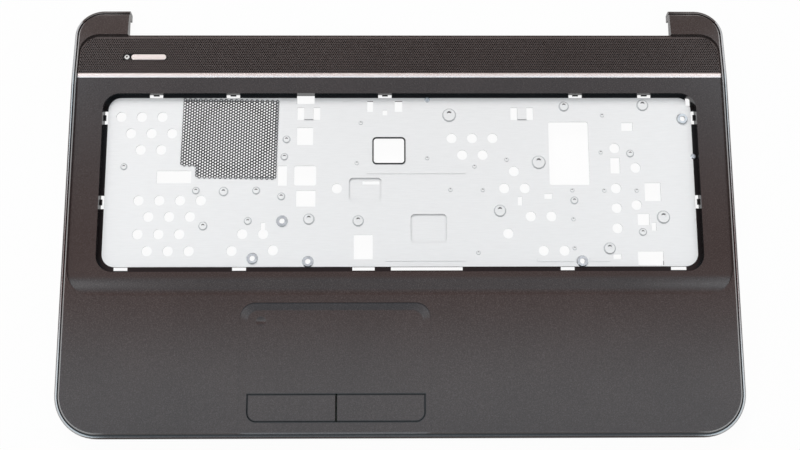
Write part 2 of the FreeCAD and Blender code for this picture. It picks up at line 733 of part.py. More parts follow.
def plate_x(x):
    """Place along X, spread from the key field to the plate."""
    x0, x1, _, _ = KEY_FIELD
    return -PLATE_HALF_X + (x - x0) * 2 * PLATE_HALF_X / (x1 - x0)


def plate_y(y):
    """Place along Y, spread from the key field to the plate."""
    _, _, y0, y1 = KEY_FIELD
    return PLATE_FRONT + (y - y0) * (PLATE_REAR - PLATE_FRONT) / (y1 - y0)


def on_plate(field):
    """Edges of a rectangle on the plate."""
    x0, x1, y0, y1 = field
    return plate_x(x0), plate_x(x1), plate_y(y0), plate_y(y1)


def latch_cut(x, y, turn):
    """One tab slot with the hook left standing in its wall side; turn is its direction in degrees."""
    z0 = LEDGE_TOP - LEDGE_THICKNESS - 1
    z1 = LEDGE_TOP + LATCH_HEIGHT
    slot = slab(-LATCH_LENGTH / 2, LATCH_LENGTH / 2, 0, LATCH_DEPTH, z0, z1)
    hook = slab(-LATCH_HOOK / 2, LATCH_HOOK / 2, LATCH_DEPTH - LATCH_HOOK_DEPTH, LATCH_DEPTH + 1, z0, z1)
    cut = slot.cut(hook)
    cut.rotate(Vector(0, 0, 0), Vector(0, 0, 1), turn)
    cut.translate(Vector(x, y, 0))
    return cut


def notch_fields():
    """Two notches that pass through plate and ledge: at the rear edge and in the right rear corner."""
    corner_in, corner_length = CORNER_NOTCH
    rear = (plate_x(NOTCH_FIELD[0]), plate_x(NOTCH_FIELD[1]), PLATE_REAR - NOTCH_IN, WELL_REAR)
    corner = (PLATE_HALF_X - corner_in, PLATE_HALF_X + LATCH_OFFSET, PLATE_REAR - corner_length, PLATE_REAR)
    return [rear, corner]


def ledge_slots():
    """Every slot and notch through the ledge."""
    cuts = [latch_cut(plate_x(x), PLATE_REAR + LATCH_OFFSET, 0) for x in LATCH_CENTRES_REAR]
    for y in LATCH_CENTRES_SIDE:
        cuts.append(latch_cut(-PLATE_HALF_X - LATCH_OFFSET, plate_y(y), 90))
        cuts.append(latch_cut(PLATE_HALF_X + LATCH_OFFSET, plate_y(y), -90))
    z0 = LEDGE_TOP - LEDGE_THICKNESS - 1
    z1 = LEDGE_TOP + 1
    front = PLATE_FRONT - LATCH_OFFSET
    for x0, x1 in FRONT_SLOTS:
        cuts.append(slab(plate_x(x0), plate_x(x1), front - FRONT_SLOT_DEPTH, front, z0, z1))
    cuts += [slab(*field, z0, z1) for field in notch_fields()]
    for window in PLATE_WINDOWS:
        if window[3] > OPEN_LEDGE_REAR or window[2] < OPEN_LEDGE_FRONT:
            cuts.append(slab(*on_plate(window[:4]), z0, z1))
    cuts += [peg(x, y, z0, z1, STANDOFF_HOLE_R) for x, y in standoff_places()]
    cuts += [peg(x, y, z0, z1, RIVET_SHANK_R + RIVET_PLAY) for x, y in rivet_places()]
    return fuse_all(cuts)


def rivet_places():
    return [(plate_x(x), plate_y(y)) for x, y in RIVET_PLACES]


def ceiling_at(y):
    """Underside of the cover's skin at a place along Y."""
    if y < RECESS_FRONT:
        return CEILING
    if y < SLOPE_END:
        return CEILING - (CEILING - DECK_CEILING) * (y - RECESS_FRONT) / SLOPE_LENGTH
    return DECK_CEILING


def screw_bosses():
    """Round bosses that hang from the skin and hold the brass inserts."""
    return [peg(x, y, BOSS_BOTTOM, ceiling_at(y) + SKIN / 2, BOSS_R, HOLE_SIDES) for x, y in BOSS_PLACES]


def boss_holes():
    return [peg(x, y, BOSS_BOTTOM - 1, BOSS_BOTTOM + INSERT_LENGTH + 1, INSERT_R) for x, y in BOSS_PLACES]


def bracket_posts():
    """Two posts that carry the click bracket."""
    return [(PAD_LEFT - POST_OUTSIDE_LEFT, CLICK_MID_Y), (PAD_RIGHT + POST_OUTSIDE_RIGHT, CLICK_MID_Y)]


def rib_places():
    """Places along X of the ribs that run front to rear."""
    places = []
    x = -HALF_X + RIB_END_LEFT
    while x < PAD_LEFT - RIB_PAD_GAP:
        places.append(x)
        x += RIB_PITCH
    x = HALF_X - RIB_END_RIGHT
    while x > PAD_RIGHT + RIB_PAD_GAP:
        places.append(x)
        x -= RIB_PITCH
    return places


def palm_ribs():
    """Thin stiffening ribs beside the touchpad."""
    half = RIB_THICKNESS / 2
    z0 = CEILING - RIB_HEIGHT
    z1 = CEILING + SKIN / 4
    edge = CAP_X - SKIN - 0.5
    front = CAP_FRONT + SKIN + BOSS_R
    ribs = []
    for y in (PALM_RIB_Y, PALM_RIB_Y + RIB_STEP_Y):
        ribs.append(slab(-edge, PAD_LEFT - PAD_CORNER_R, y - half, y + half, z0, z1))
        ribs.append(slab(PAD_RIGHT + PAD_CORNER_R, edge, y - half, y + half, z0, z1))
    for x in rib_places():
        ribs.append(slab(x - half, x + half, front, RECESS_FRONT + 1, z0, z1))
    return ribs


def click_outline(grow, z0, z1, side=None):
    """Outline of the click bar, or of one button, grown by a clearance or flange."""
    x0, x1 = CLICK_LEFT, CLICK_RIGHT
    bar = slab(x0 - grow, x1 + grow, CLICK_FRONT - grow, CLICK_REAR + grow, z0, z1, CLICK_CORNER_R + grow, 0.0)
    if side is None:
        return bar
    half_gap = CLICK_SPLIT_GAP / 2
    wide = 2 * CLICK_CORNER_R
    if side < 0:
        keep = slab(x0 - wide, CLICK_SPLIT_X - half_gap, CLICK_FRONT - wide, CLICK_REAR + wide, z0 - 1, z1 + 1)
    else:
        keep = slab(CLICK_SPLIT_X + half_gap, x1 + wide, CLICK_FRONT - wide, CLICK_REAR + wide, z0 - 1, z1 + 1)
    return bar.common(keep)


def tilted(shape):
    """Places a shape built on a level strip onto the falling one."""
    placed = shape.copy()
    placed.rotate(Vector(0, 0, 0), Vector(1, 0, 0), -STRIP_TILT)
    placed.translate(Vector(0, STRIP_Y0, DECK_TOP))
    return placed


def pill(x, y, length, width, z0, z1):
    half = length / 2
    return slab(x - half, x + half, y - width / 2, y + width / 2, z0, z1, width / 2 - 0.001)


def power_openings(z0):
    """Way through the strip for the power button and its light."""
    button = pill(POWER_X, POWER_ALONG, POWER_LENGTH + 2 * CLICK_GAP, POWER_WIDTH + 2 * CLICK_GAP, z0, 2)
    light = peg(LED_X, POWER_ALONG, z0, 2, LED_R + SCREW_PLAY, HOLE_SIDES)
    return tilted(button.fuse(light))


def power_posts():
    """Posts under the strip that carry the power button's board."""
    posts = []
    for x in POWER_POSTS:
        post = peg(x, POWER_ALONG, POWER_BOARD_TOP, WEB_BOTTOM + STRIP_WEB / 3, POST_R)
        hole = peg(x, POWER_ALONG, POWER_BOARD_TOP - 1, WEB_BOTTOM - STOP_GAP, SCREW_R + SCREW_PLAY)
        posts.append(tilted(post.cut(hole)))
    return posts


def speaker_windows():
    """Openings in the web under the grille."""
    half = SPEAKER_LENGTH / 2
    windows = []
    for x in (-SPEAKER_X, SPEAKER_X):
        window = slab(x - half, x + half, SPEAKER_START, SPEAKER_START + SPEAKER_WIDTH, WEB_BOTTOM - 1, 1)
        windows.append(tilted(window))
    return windows


def palm_rest_shell():
    bead = bead_tier().cut(groove_space())
    body = bead.fuse(cap_tier())
    body = body.cut(slab(-EAR_INNER_X, EAR_INNER_X, NOTCH_REAR, REAR + 5, -1, FAR))
    body = body.cut(deck_cutter())
    body = body.cut(strip_pocket())
    body = body.cut(slab(-DECK_X, DECK_X, TRIM_FRONT, STRIP_Y0 + 0.01, DECK_TOP - TRIM_SEAT, FAR))
    body = body.cut(touchpad_recess())
    hollow = underside_space().cut(well_frame())
    body = body.cut(hollow)
    body = body.cut(well_space())
    body = body.cut(ledge_slots())
    body = body.cut(ear_space(1)).cut(ear_space(-1))
    posts = [peg(x, y, CLICK_BOARD_BOTTOM, CEILING + SKIN / 4, POST_R) for x, y in bracket_posts()]
    body = body.multiFuse(screw_bosses() + posts + palm_ribs() + power_posts())
    holes = boss_holes()
    holes += [peg(x, y, CLICK_BOARD_BOTTOM - 1, CEILING - 0.5, SCREW_R + SCREW_PLAY) for x, y in bracket_posts()]
    holes.append(click_outline(CLICK_GAP, CLICK_FLANGE_BOTTOM - 1, FAR))
    holes.append(power_openings(WEB_BOTTOM - 1))
    return body.cut(fuse_all(holes + speaker_windows()))


# Strip pieces

def speaker_grille():
    x = DECK_X - EDGE_GAP
    rear = GRILLE_REAR - EDGE_GAP
    y0 = STRIP_Y0
    section = [(y0, strip_z(y0) - GRILLE_THICKNESS), (y0, strip_z(y0)), (rear, strip_z(rear)),
               (rear, strip_z(rear) - GRILLE_THICKNESS), (y0, strip_z(y0) - GRILLE_THICKNESS)]
    sheet = profile_prism(lines(section, -x), -x, x)
    sheet = sheet.common(slab(-x, x, y0, rear, 0, FAR, 0.0, RECESS_REAR_R - EDGE_GAP))
    return sheet.cut(power_openings(-2))


def trim_strip():
    x = DECK_X - EDGE_GAP
    z0 = DECK_TOP - TRIM_SEAT
    z1 = DECK_TOP + TRIM_PROUD
    y0 = TRIM_FRONT
    y1 = STRIP_Y0
    edges = lines([(y1, z1 - TRIM_CROWN), (y1, z0), (y0, z0), (y0, z1 - TRIM_CROWN)], -x)
    edges.append(arc((y0, z1 - TRIM_CROWN), ((y0 + y1) / 2, z1), (y1, z1 - TRIM_CROWN), -x))
    return profile_prism(edges, -x, x)


def power_button():
    cap = pill(POWER_X, POWER_ALONG, POWER_LENGTH, POWER_WIDTH, POWER_FLANGE_BOTTOM, POWER_PROUD)
    cap = cap.makeChamfer(POWER_EDGE, [e for e in cap.Edges if e.BoundBox.ZMin > POWER_PROUD - 0.01])
    half_x = POWER_LENGTH / 2 - POWER_WIDTH / 2
    half_y = POWER_WIDTH / 2 + POWER_FLANGE
    flange = slab(POWER_X - half_x, POWER_X + half_x, POWER_ALONG - half_y, POWER_ALONG + half_y,
                  POWER_FLANGE_BOTTOM, POWER_FLANGE_TOP)
    return tilted(cap.fuse(flange))


def power_led_lens():
    return tilted(peg(LED_X, POWER_ALONG, POWER_BOARD_TOP + LED_HEIGHT, CLICK_PROUD, LED_R, HOLE_SIDES))


def power_led():
    half = LED_R / 2
    return tilted(slab(LED_X - half, LED_X + half, POWER_ALONG - half, POWER_ALONG + half, POWER_BOARD_TOP,
                       POWER_BOARD_TOP + LED_HEIGHT))


def power_button_board():
    half = POWER_BOARD_WIDTH / 2
    end = SCREW_HEAD_R + 0.8
    board = slab(POWER_POSTS[0] - end, POWER_POSTS[1] + end, POWER_ALONG - half, POWER_ALONG + half,
                 POWER_BOARD_BOTTOM, POWER_BOARD_TOP)
    hole_r = SCREW_R + 2 * SCREW_PLAY
    for x in POWER_POSTS:
        board = board.cut(peg(x, POWER_ALONG, POWER_BOARD_BOTTOM - 1, POWER_BOARD_TOP + 1, hole_r))
    return tilted(board)


def switch_housing(x, y, top):
    """Tact switch body with the bore its stem runs in."""
    body = slab(x - SWITCH_LENGTH / 2, x + SWITCH_LENGTH / 2, y - SWITCH_WIDTH / 2, y + SWITCH_WIDTH / 2,
                top - SWITCH_HEIGHT, top)
    floor = top - STEM_DEPTH - CLICK_TRAVEL - STOP_GAP
    return body.cut(peg(x, y, floor, top + 1, STEM_R + STEM_GAP))


def switch_stem(x, y, top):
    """Stem from its press face down into the housing, with room to travel."""
    return peg(x, y, top - STEM_DEPTH, top + STEM_PROUD, STEM_R)


def flat_connector(x, y, top, width, depth, height):
    """Flat-cable socket whose mouth faces the rear."""
    body = slab(x - width / 2, x + width / 2, y - depth / 2, y + depth / 2, top - height, top)
    side = 2 * SOCKET_WALL
    mouth = slab(x - width / 2 + side, x + width / 2 - side, y, y + depth, top - height + SOCKET_WALL,
                 top - SOCKET_WALL)
    return body.cut(mouth)


# Keyboard plate and what is on it

def mesh_outline(inset, z0, z1):
    """Fan area with its stepped corner."""
    x0, x1, y0, y1 = on_plate(FAN_FIELD)
    area = slab(x0 + inset, x1 - inset, y0 + inset, y1 - inset, z0, z1)
    step_x = plate_x(FAN_STEP[0]) + inset
    step_y = plate_y(FAN_STEP[1]) + inset
    return area.cut(slab(x0 - 1, step_x, y0 - 1, step_y, z0 - 1, z1 + 1))


def pressed_boss(x, y, foot, height):
    """Boss pressed up out of the sheet."""
    low = LEDGE_TOP + PLATE_THICKNESS / 2
    return taper(plate_x(x), plate_y(y), low, PLATE_TOP + height, foot, foot - BOSS_TAPER)


def small_boss(x, y):
    return taper(plate_x(x), plate_y(y), LEDGE_TOP + PLATE_THICKNESS / 2, PLATE_TOP + SMALL_BOSS_HEIGHT,
                 SMALL_BOSS_R, SMALL_BOSS_R - SMALL_BOSS_TAPER, SMALL_SIDES)


def boss_dish(x, y, foot):
    """Small dish in the crown of a big boss, toward its rear."""
    z = PLATE_TOP + BIG_BOSS_HEIGHT
    return peg(plate_x(x), plate_y(y) + foot * 0.2, z - BOSS_DISH, z + 1, foot * BOSS_DISH_SHARE, SMALL_SIDES)


def pocket_wall(field):
    """Walls and floor of a pocket pressed down under the sheet."""
    x0, x1, y0, y1 = on_plate(field)
    t = PLATE_THICKNESS
    return slab(x0 - t, x1 + t, y0 - t, y1 + t, LEDGE_TOP - POCKET_DEPTH, LEDGE_TOP + t / 2)


def lance_tongue(x, y):
    half_x = LANCE_TONGUE / 2
    half_y = LANCE_LENGTH / 2 - STOP_GAP
    px, py = plate_x(x), plate_y(y)
    return slab(px - half_x, px + half_x, py - half_y, py + half_y, LEDGE_TOP + PLATE_THICKNESS / 2,
                PLATE_TOP + LANCE_HEIGHT)


def lance_slots(x, y, z0, z1):
    half_y = LANCE_LENGTH / 2
    px, py = plate_x(x), plate_y(y)
    inner = LANCE_TONGUE / 2
    outer = inner + LANCE_SLOT
    return [slab(px + a, px + b, py - half_y, py + half_y, z0, z1) for a, b in ((-outer, -inner), (inner, outer))]


def cooling_holes(z0, z1):
    """Rows of round holes, evenly spread between their first and last places."""
    holes = []
    for first, last, y in HOLE_ROWS:
        a, b = plate_x(first), plate_x(last)
        steps = round((b - a) / HOLE_PITCH)
        for i in range(steps + 1):
            x = a + (b - a) * i / max(steps, 1)
            holes.append(peg(x, plate_y(y), z0, z1, HOLE_R, HOLE_SIDES))
    return holes


def standoff_places():
    return [(plate_x(x), plate_y(y)) for x, y in STANDOFF_PLACES]


def plate_additions():
    """What is pressed up or down out of the sheet."""
    low = LEDGE_TOP + PLATE_THICKNESS / 2
    added = [slab(*on_plate(pad), low, PLATE_TOP + PAD_HEIGHT) for pad in PLATE_PADS]
    added += [lance_tongue(x, y) for x, y in LANCES]
    added += [pressed_boss(x, y, r, BIG_BOSS_HEIGHT) for x, y, r in BIG_BOSSES]
    added += [pressed_boss(x, y, r, MEDIUM_BOSS_HEIGHT) for x, y, r in MEDIUM_BOSSES]
    added += [small_boss(x, y) for x, y in SMALL_BOSSES]
    added += [pocket_wall(field) for field in PLATE_POCKETS]
    return added


def keyboard_plate():
    z0 = LEDGE_TOP - 2
    z1 = PLATE_TOP + 2
    plate = slab(-PLATE_HALF_X, PLATE_HALF_X, PLATE_FRONT, PLATE_REAR, LEDGE_TOP, PLATE_TOP, PLATE_CORNER_R)
    plate = plate.multiFuse(plate_additions())
    cuts = cooling_holes(z0, z1)
    cuts += [slab(*on_plate(window[:4]), z0, z1, window[4]) for window in PLATE_WINDOWS]
    for x, y in LANCES:
        cuts += lance_slots(x, y, z0, z1)
    floor = LEDGE_TOP - POCKET_DEPTH + PLATE_THICKNESS
    cuts += [slab(*on_plate(field), floor, z1, POCKET_R) for field in PLATE_POCKETS]
    cuts.append(slab(*on_plate(POCKET_SLOT), z0, z1))
    cuts.append(slab(*on_plate(WINDOW), z0, z1, WINDOW_R))
    cuts.append(mesh_outline(MESH_BORDER, z0, z1))
    for x0, x1, y0, y1 in notch_fields():
        cuts.append(slab(x0, x1, y0, y1 + 1, z0, z1))
    cuts += [peg(x, y, z0, z1, RIVET_SHANK_R + RIVET_PLAY) for x, y in rivet_places()]
    cuts += [peg(x, y, z0, z1, STANDOFF_HOLE_R) for x, y in standoff_places()]
    cuts += [boss_dish(x, y, r) for x, y, r in BIG_BOSSES]
    return plate.cut(fuse_all(cuts))


def hexagon(x, y, z, r):
    turns = [math.radians(60 * k) for k in range(7)]
    return Part.makePolygon([Vector(x + r * math.sin(t), y + r * math.cos(t), z) for t in turns])


def fan_mesh():
    """Perforated sheet bonded over the fan opening."""
    z0 = PLATE_TOP
    z1 = PLATE_TOP + MESH_THICKNESS
    x0, x1, y0, y1 = on_plate(FAN_FIELD)
    room = MESH_BORDER + MESH_HOLE_R
    step_x = plate_x(FAN_STEP[0]) + room
    step_y = plate_y(FAN_STEP[1]) + room
    row_pitch = MESH_PITCH * math.sqrt(3) / 2
    rows = int((y1 - y0 - 2 * room) / row_pitch) + 1
    columns = int((x1 - x0 - 2 * room) / MESH_PITCH) + 1
    holes = []
    for row in range(rows):
        shift = MESH_PITCH / 2 if row % 2 else 0.0
        y = y1 - room - row * row_pitch
        for column in range(columns):
            x = x1 - room - shift - column * MESH_PITCH
            if x < x0 + room or (x < step_x and y < step_y):
                continue
            opening = Part.Face(hexagon(x, y, z0 - 1, MESH_HOLE_R))
            holes.append(opening.extrude(Vector(0, 0, MESH_THICKNESS + 2)))
    return mesh_outline(0.0, z0, z1).cut(Part.makeCompound(holes))


def window_edging():
    x0, x1, y0, y1 = on_plate(WINDOW)
    gap = EDGING_FIT
    w = EDGING_WIDTH
    z0 = LEDGE_TOP
    z1 = PLATE_TOP + EDGING_PROUD
    ring = slab(x0 + gap, x1 - gap, y0 + gap, y1 - gap, z0, z1, WINDOW_R - gap)
    return ring.cut(slab(x0 + w, x1 - w, y0 + w, y1 - w, z0 - 1, z1 + 1, WINDOW_R - w))


def plate_standoffs():
    rings = []
    z0 = PLATE_TOP
    z1 = PLATE_TOP + STANDOFF_HEIGHT
    for x, y in standoff_places():
        ring = taper(x, y, z0, z1, STANDOFF_R, STANDOFF_R - STANDOFF_TAPER)
        rings.append(ring.cut(peg(x, y, z0 - 1, z1 + 1, STANDOFF_HOLE_R)))
    return Part.makeCompound(rings)


def plate_rivets():
    rivets = []
    under = LEDGE_TOP - LEDGE_THICKNESS
    for x, y in rivet_places():
        tail = peg(x, y, under - RIVET_TAIL, under, RIVET_TAIL_R, SMALL_SIDES)
        shank = peg(x, y, under - RIVET_TAIL / 2, PLATE_TOP + RIVET_HEAD / 2, RIVET_SHANK_R, SMALL_SIDES)
        head = taper(x, y, PLATE_TOP, PLATE_TOP + RIVET_HEAD, RIVET_HEAD_R, RIVET_HEAD_R - 0.5)
        rivets.append(shank.multiFuse([head, tail]))
    return Part.makeCompound(rivets)


# Click buttons

def click_button(side):
    """Hollow button cap with a flange under the skin and a plunger over its switch."""
    cap = click_outline(0.0, CLICK_FLANGE_BOTTOM, CLICK_TOP, side)
    cap = cap.makeChamfer(CLICK_EDGE, [e for e in cap.Edges if e.BoundBox.ZMin > CLICK_TOP - 0.01])
    flange = click_outline(CLICK_GAP + CLICK_FLANGE, CLICK_FLANGE_BOTTOM, CLICK_FLANGE_TOP, side)
    button = cap.fuse(flange)
    pocket = click_outline(-CLICK_WALL, CLICK_FLANGE_BOTTOM - 1, CLICK_TOP - CLICK_SKIN, side)
    wall = CLICK_WALL + CLICK_SPLIT_GAP / 2
    pocket = pocket.cut(slab(CLICK_SPLIT_X - wall, CLICK_SPLIT_X + wall, CLICK_FRONT, CLICK_REAR, 0, FAR))
    button = button.cut(pocket)
    x, y = SWITCH_PLACES[0 if side < 0 else 1]
    return button.fuse(peg(x, y, CLICK_STEM_TOP, CLICK_TOP - CLICK_SKIN / 2, PLUNGER_R))


def click_board():
    """Board with the two switches, wide enough to close the gap between the buttons from below."""
    return slab(CLICK_LEFT + BOARD_END, CLICK_RIGHT - BOARD_END, CLICK_FRONT - BOARD_LAP, CLICK_REAR + BOARD_LAP,
                CLICK_BOARD_BOTTOM, CLICK_BOARD_TOP)


def click_bracket():
    """Steel strap under the click board, screwed to two posts."""
    z1 = CLICK_BOARD_BOTTOM
    (xa, y), (xb, _) = bracket_posts()
    strap = slab(xa - BRACKET_END, xb + BRACKET_END, CLICK_FRONT + POST_R, CLICK_REAR - POST_R,
                 z1 - BRACKET_THICKNESS, z1)
    for x in (xa, xb):
        strap = strap.cut(peg(x, y, z1 - 2, z1 + 1, SCREW_R + 3 * SCREW_PLAY))
    return strap


def touchpad_board():
    return slab(PAD_LEFT + PAD_BOARD_IN, PAD_RIGHT - PAD_BOARD_IN, PAD_BOARD_FRONT, PAD_REAR - PAD_BOARD_IN,
                CEILING - BOARD_THICKNESS, CEILING)


def touchpad_chip():
    half = CHIP_SIDE / 2
    y = (PAD_BOARD_FRONT + PAD_REAR - PAD_BOARD_IN) / 2
    z = CEILING - BOARD_THICKNESS
    return slab(PAD_CENTRE_X - half, PAD_CENTRE_X + half, y - half, y + half, z - CHIP_HEIGHT, z)


def screw(x, y, z_seat, z_tip):
    """Screw with its head under z_seat and its shank up to z_tip."""
    head = peg(x, y, z_seat - SCREW_HEAD, z_seat, SCREW_HEAD_R)
    half = SCREW_HEAD_R / 2
    slot = slab(x - half, x + half, y - 0.25, y + 0.25, z_seat - SCREW_HEAD - 1, z_seat - SCREW_HEAD / 2)
    shank = peg(x, y, z_seat - SCREW_HEAD / 4, z_tip, SCREW_R)
    return head.cut(slot).fuse(shank)


def board_screws():
    z = CLICK_BOARD_BOTTOM - BRACKET_THICKNESS
    parts = [screw(x, y, z, CEILING - SCREW_TIP_GAP) for x, y in bracket_posts()]
    tip = WEB_BOTTOM - SCREW_TIP_GAP
    parts += [tilted(screw(x, POWER_ALONG, POWER_BOARD_BOTTOM, tip)) for x in POWER_POSTS]
    return Part.makeCompound(parts)


def threaded_inserts():
    sleeves = []
    top = BOSS_BOTTOM + INSERT_LENGTH
    for x, y in BOSS_PLACES:
        sleeve = peg(x, y, BOSS_BOTTOM, top, INSERT_R - INSERT_FIT)
        sleeves.append(sleeve.cut(cylinder(x, y, 0, top + 1, THREAD_R)))
    return Part.makeCompound(sleeves)


def build():
    left, right = SWITCH_PLACES
    pad_under = CEILING - BOARD_THICKNESS
    click_over = CLICK_BOARD_TOP + CLICK_SOCKET[2]
    return {
        "palm_rest_shell": palm_rest_shell(),
        "speaker_grille": speaker_grille(),
        "trim_strip": trim_strip(),
        "power_button": power_button(),
        "power_led_lens": power_led_lens(),
        "power_led": power_led(),
        "power_button_board": power_button_board(),
        "power_switch": tilted(switch_housing(POWER_X, POWER_ALONG, POWER_SWITCH_TOP)),
        "power_switch_stem": tilted(switch_stem(POWER_X, POWER_ALONG, POWER_SWITCH_TOP)),
        "power_connector": tilted(flat_connector(POWER_X - SOCKET_ASIDE, POWER_ALONG, POWER_BOARD_BOTTOM,
                                                 *POWER_SOCKET)),
        "keyboard_plate": keyboard_plate(),
        "fan_mesh": fan_mesh(),
        "window_edging": window_edging(),
        "plate_standoffs": plate_standoffs(),
        "plate_rivets": plate_rivets(),
        "left_click_button": click_button(-1),
        "right_click_button": click_button(1),
        "left_click_switch": switch_housing(*left, CLICK_SWITCH_TOP),
        "right_click_switch": switch_housing(*right, CLICK_SWITCH_TOP),
        "left_switch_stem": switch_stem(*left, CLICK_SWITCH_TOP),
        "right_switch_stem": switch_stem(*right, CLICK_SWITCH_TOP),
        "click_board": click_board(),
        "click_connector": flat_connector((CLICK_SPLIT_X + right[0]) / 2, CLICK_MID_Y, click_over, *CLICK_SOCKET),
        "click_bracket": click_bracket(),
        "touchpad_board": touchpad_board(),
        "touchpad_chip": touchpad_chip(),
        "touchpad_connector": flat_connector(PAD_CENTRE_X + PAD_SOCKET_ASIDE, PAD_REAR - PAD_SOCKET_IN, pad_under,
                                             *PAD_SOCKET),
        "board_screws": board_screws(),
        "threaded_inserts": threaded_inserts(),
    }


os.makedirs("parts", exist_ok=True)
for name, shape in build().items():
    shape.exportStep("parts/" + name + ".step")
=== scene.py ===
import math

import bmesh
import bpy
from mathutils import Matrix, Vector


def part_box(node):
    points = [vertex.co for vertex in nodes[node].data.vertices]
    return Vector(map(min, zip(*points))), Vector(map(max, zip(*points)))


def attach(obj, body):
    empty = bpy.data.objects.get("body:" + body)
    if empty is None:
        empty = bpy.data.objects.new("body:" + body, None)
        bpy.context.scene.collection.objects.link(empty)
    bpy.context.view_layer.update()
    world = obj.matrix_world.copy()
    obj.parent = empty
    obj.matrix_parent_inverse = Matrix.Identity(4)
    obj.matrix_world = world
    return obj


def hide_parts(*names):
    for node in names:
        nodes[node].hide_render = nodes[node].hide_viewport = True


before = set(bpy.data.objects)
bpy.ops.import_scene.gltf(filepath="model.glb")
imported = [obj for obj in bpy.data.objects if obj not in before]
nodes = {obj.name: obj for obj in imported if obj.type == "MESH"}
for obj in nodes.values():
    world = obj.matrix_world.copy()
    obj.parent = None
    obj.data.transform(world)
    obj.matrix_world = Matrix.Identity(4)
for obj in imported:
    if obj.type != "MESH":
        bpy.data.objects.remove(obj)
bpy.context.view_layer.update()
scene = bpy.context.scene

# The view: the cover lies on its rim and is photographed from almost straight above.
# The camera stands 0.62 m over the palm rest and leans ten degrees toward the hinges.
VIEW_LENS = 45.66
VIEW_PLACE = (-0.0059, -0.11266, 0.62302)
VIEW_TURN = (9.892, -0.490, -0.163)
camera_data = bpy.data.cameras.new("camera")
camera_data.lens = VIEW_LENS
camera_data.sensor_width = 36.0
camera_data.sensor_fit = "HORIZONTAL"
camera_data.clip_start = 0.01
camera = bpy.data.objects.new("camera", camera_data)
scene.collection.objects.link(camera)
camera.location = VIEW_PLACE
camera.rotation_euler = [math.radians(turn) for turn in VIEW_TURN]
scene.camera = camera
scene.view_settings.view_transform = "Standard"


# The room: a white tabletop in a white tent of light. The main lamp stands behind the hinges, and two weak
# ones fill in from the front. Camera and mirror rays see the tent as plain white.
def math_node(tree, operation, first, second=None):
    """One sum in a material. Each input is a number or another node's output."""
    node = tree.nodes.new("ShaderNodeMath")
    node.operation = operation
    for socket, value in zip(node.inputs, (first, second)):
        if value is None:
            continue
        if isinstance(value, (int, float)):
            socket.default_value = value
        else:
            tree.links.new(value, socket)
    return node.outputs[0]


def seen_directly(tree):
    """One where a ray comes from the camera, a mirror or clear plastic, else zero."""
    path = tree.nodes.new("ShaderNodeLightPath")
    both = math_node(tree, "MAXIMUM", path.outputs["Is Camera Ray"], path.outputs["Is Glossy Ray"])
    return math_node(tree, "MAXIMUM", both, path.outputs["Is Transmission Ray"])


TENT_LIGHT = 0.38
world = bpy.data.worlds.new("tent")
world.use_nodes = True
scene.world = world
tree = world.node_tree
tree.nodes.clear()
plain = tree.nodes.new("ShaderNodeBackground")
plain.inputs["Color"].default_value = (1.0, 1.0, 1.0, 1.0)
plain.inputs["Strength"].default_value = 1.0
lit = tree.nodes.new("ShaderNodeBackground")
lit.inputs["Color"].default_value = (0.98, 0.99, 1.0, 1.0)
lit.inputs["Strength"].default_value = TENT_LIGHT
both = tree.nodes.new("ShaderNodeMixShader")
tree.links.new(seen_directly(tree), both.inputs["Fac"])
tree.links.new(lit.outputs[0], both.inputs[1])
tree.links.new(plain.outputs[0], both.inputs[2])
out = tree.nodes.new("ShaderNodeOutputWorld")
tree.links.new(both.outputs[0], out.inputs["Surface"])

TABLE_HALF = 2.0
TABLE_SINK = 0.0002
TABLE_GLOW = 0.96
bpy.ops.mesh.primitive_plane_add(size=2 * TABLE_HALF, location=(0, 0, -TABLE_SINK))
table = bpy.context.object
table.name = "tabletop"
tabletop_white = bpy.data.materials.new("tabletop_white")
tabletop_white.use_nodes = True
tree = tabletop_white.node_tree
tree.nodes.clear()
glow = tree.nodes.new("ShaderNodeEmission")
glow.inputs["Color"].default_value = (1.0, 1.0, 1.0, 1.0)
glow.inputs["Strength"].default_value = 1.0
chalk = tree.nodes.new("ShaderNodeBsdfDiffuse")
chalk.inputs["Color"].default_value = (0.86, 0.86, 0.86, 1.0)
share = tree.nodes.new("ShaderNodeMixShader")
tree.links.new(math_node(tree, "MULTIPLY", seen_directly(tree), TABLE_GLOW), share.inputs["Fac"])
tree.links.new(chalk.outputs[0], share.inputs[1])
tree.links.new(glow.outputs[0], share.inputs[2])
out = tree.nodes.new("ShaderNodeOutputMaterial")
tree.links.new(share.outputs[0], out.inputs["Surface"])
table.data.materials.append(tabletop_white)


def soft_lamp(name, place, width, height, watts, colour=(1.0, 1.0, 1.0)):
    """A rectangular lamp aimed at the middle of the cover."""
    light = bpy.data.lights.new(name, "AREA")
    light.shape = "RECTANGLE"
    light.size = width
    light.size_y = height
    light.energy = watts
    light.color = colour
    lamp = bpy.data.objects.new(name, light)
    lamp.location = place
    lamp.rotation_euler = (-Vector(place)).to_track_quat("-Z", "Y").to_euler()
    scene.collection.objects.link(lamp)
    return lamp


LAMP_SIZE = 0.8
# name, place, watts
LAMPS = [
    ("lamp_left", (-1.20, -0.30, 1.20), 3.0),
    ("lamp_right", (1.20, -0.60, 1.20), 3.5),
    ("lamp_rear", (-0.35, 1.35, 1.30), 20.0),
]
for name, place, watts in LAMPS:
    soft_lamp(name, place, LAMP_SIZE, LAMP_SIZE, watts).visible_glossy = False


# The ceiling cloth and the side lights: they show only as reflections in the cover's satin film.
# The cloth is grey with two brown folds. The lights stand low beside the front and rear corners.
def only_reflected(thing):
    """Seen in mirrors and satin surfaces, and by nothing else."""
    thing.visible_camera = False
    thing.visible_diffuse = False
    thing.visible_shadow = False
    thing.visible_transmission = False


CLOTH_HEIGHT = 1.5
CLOTH_HALF = 1.3
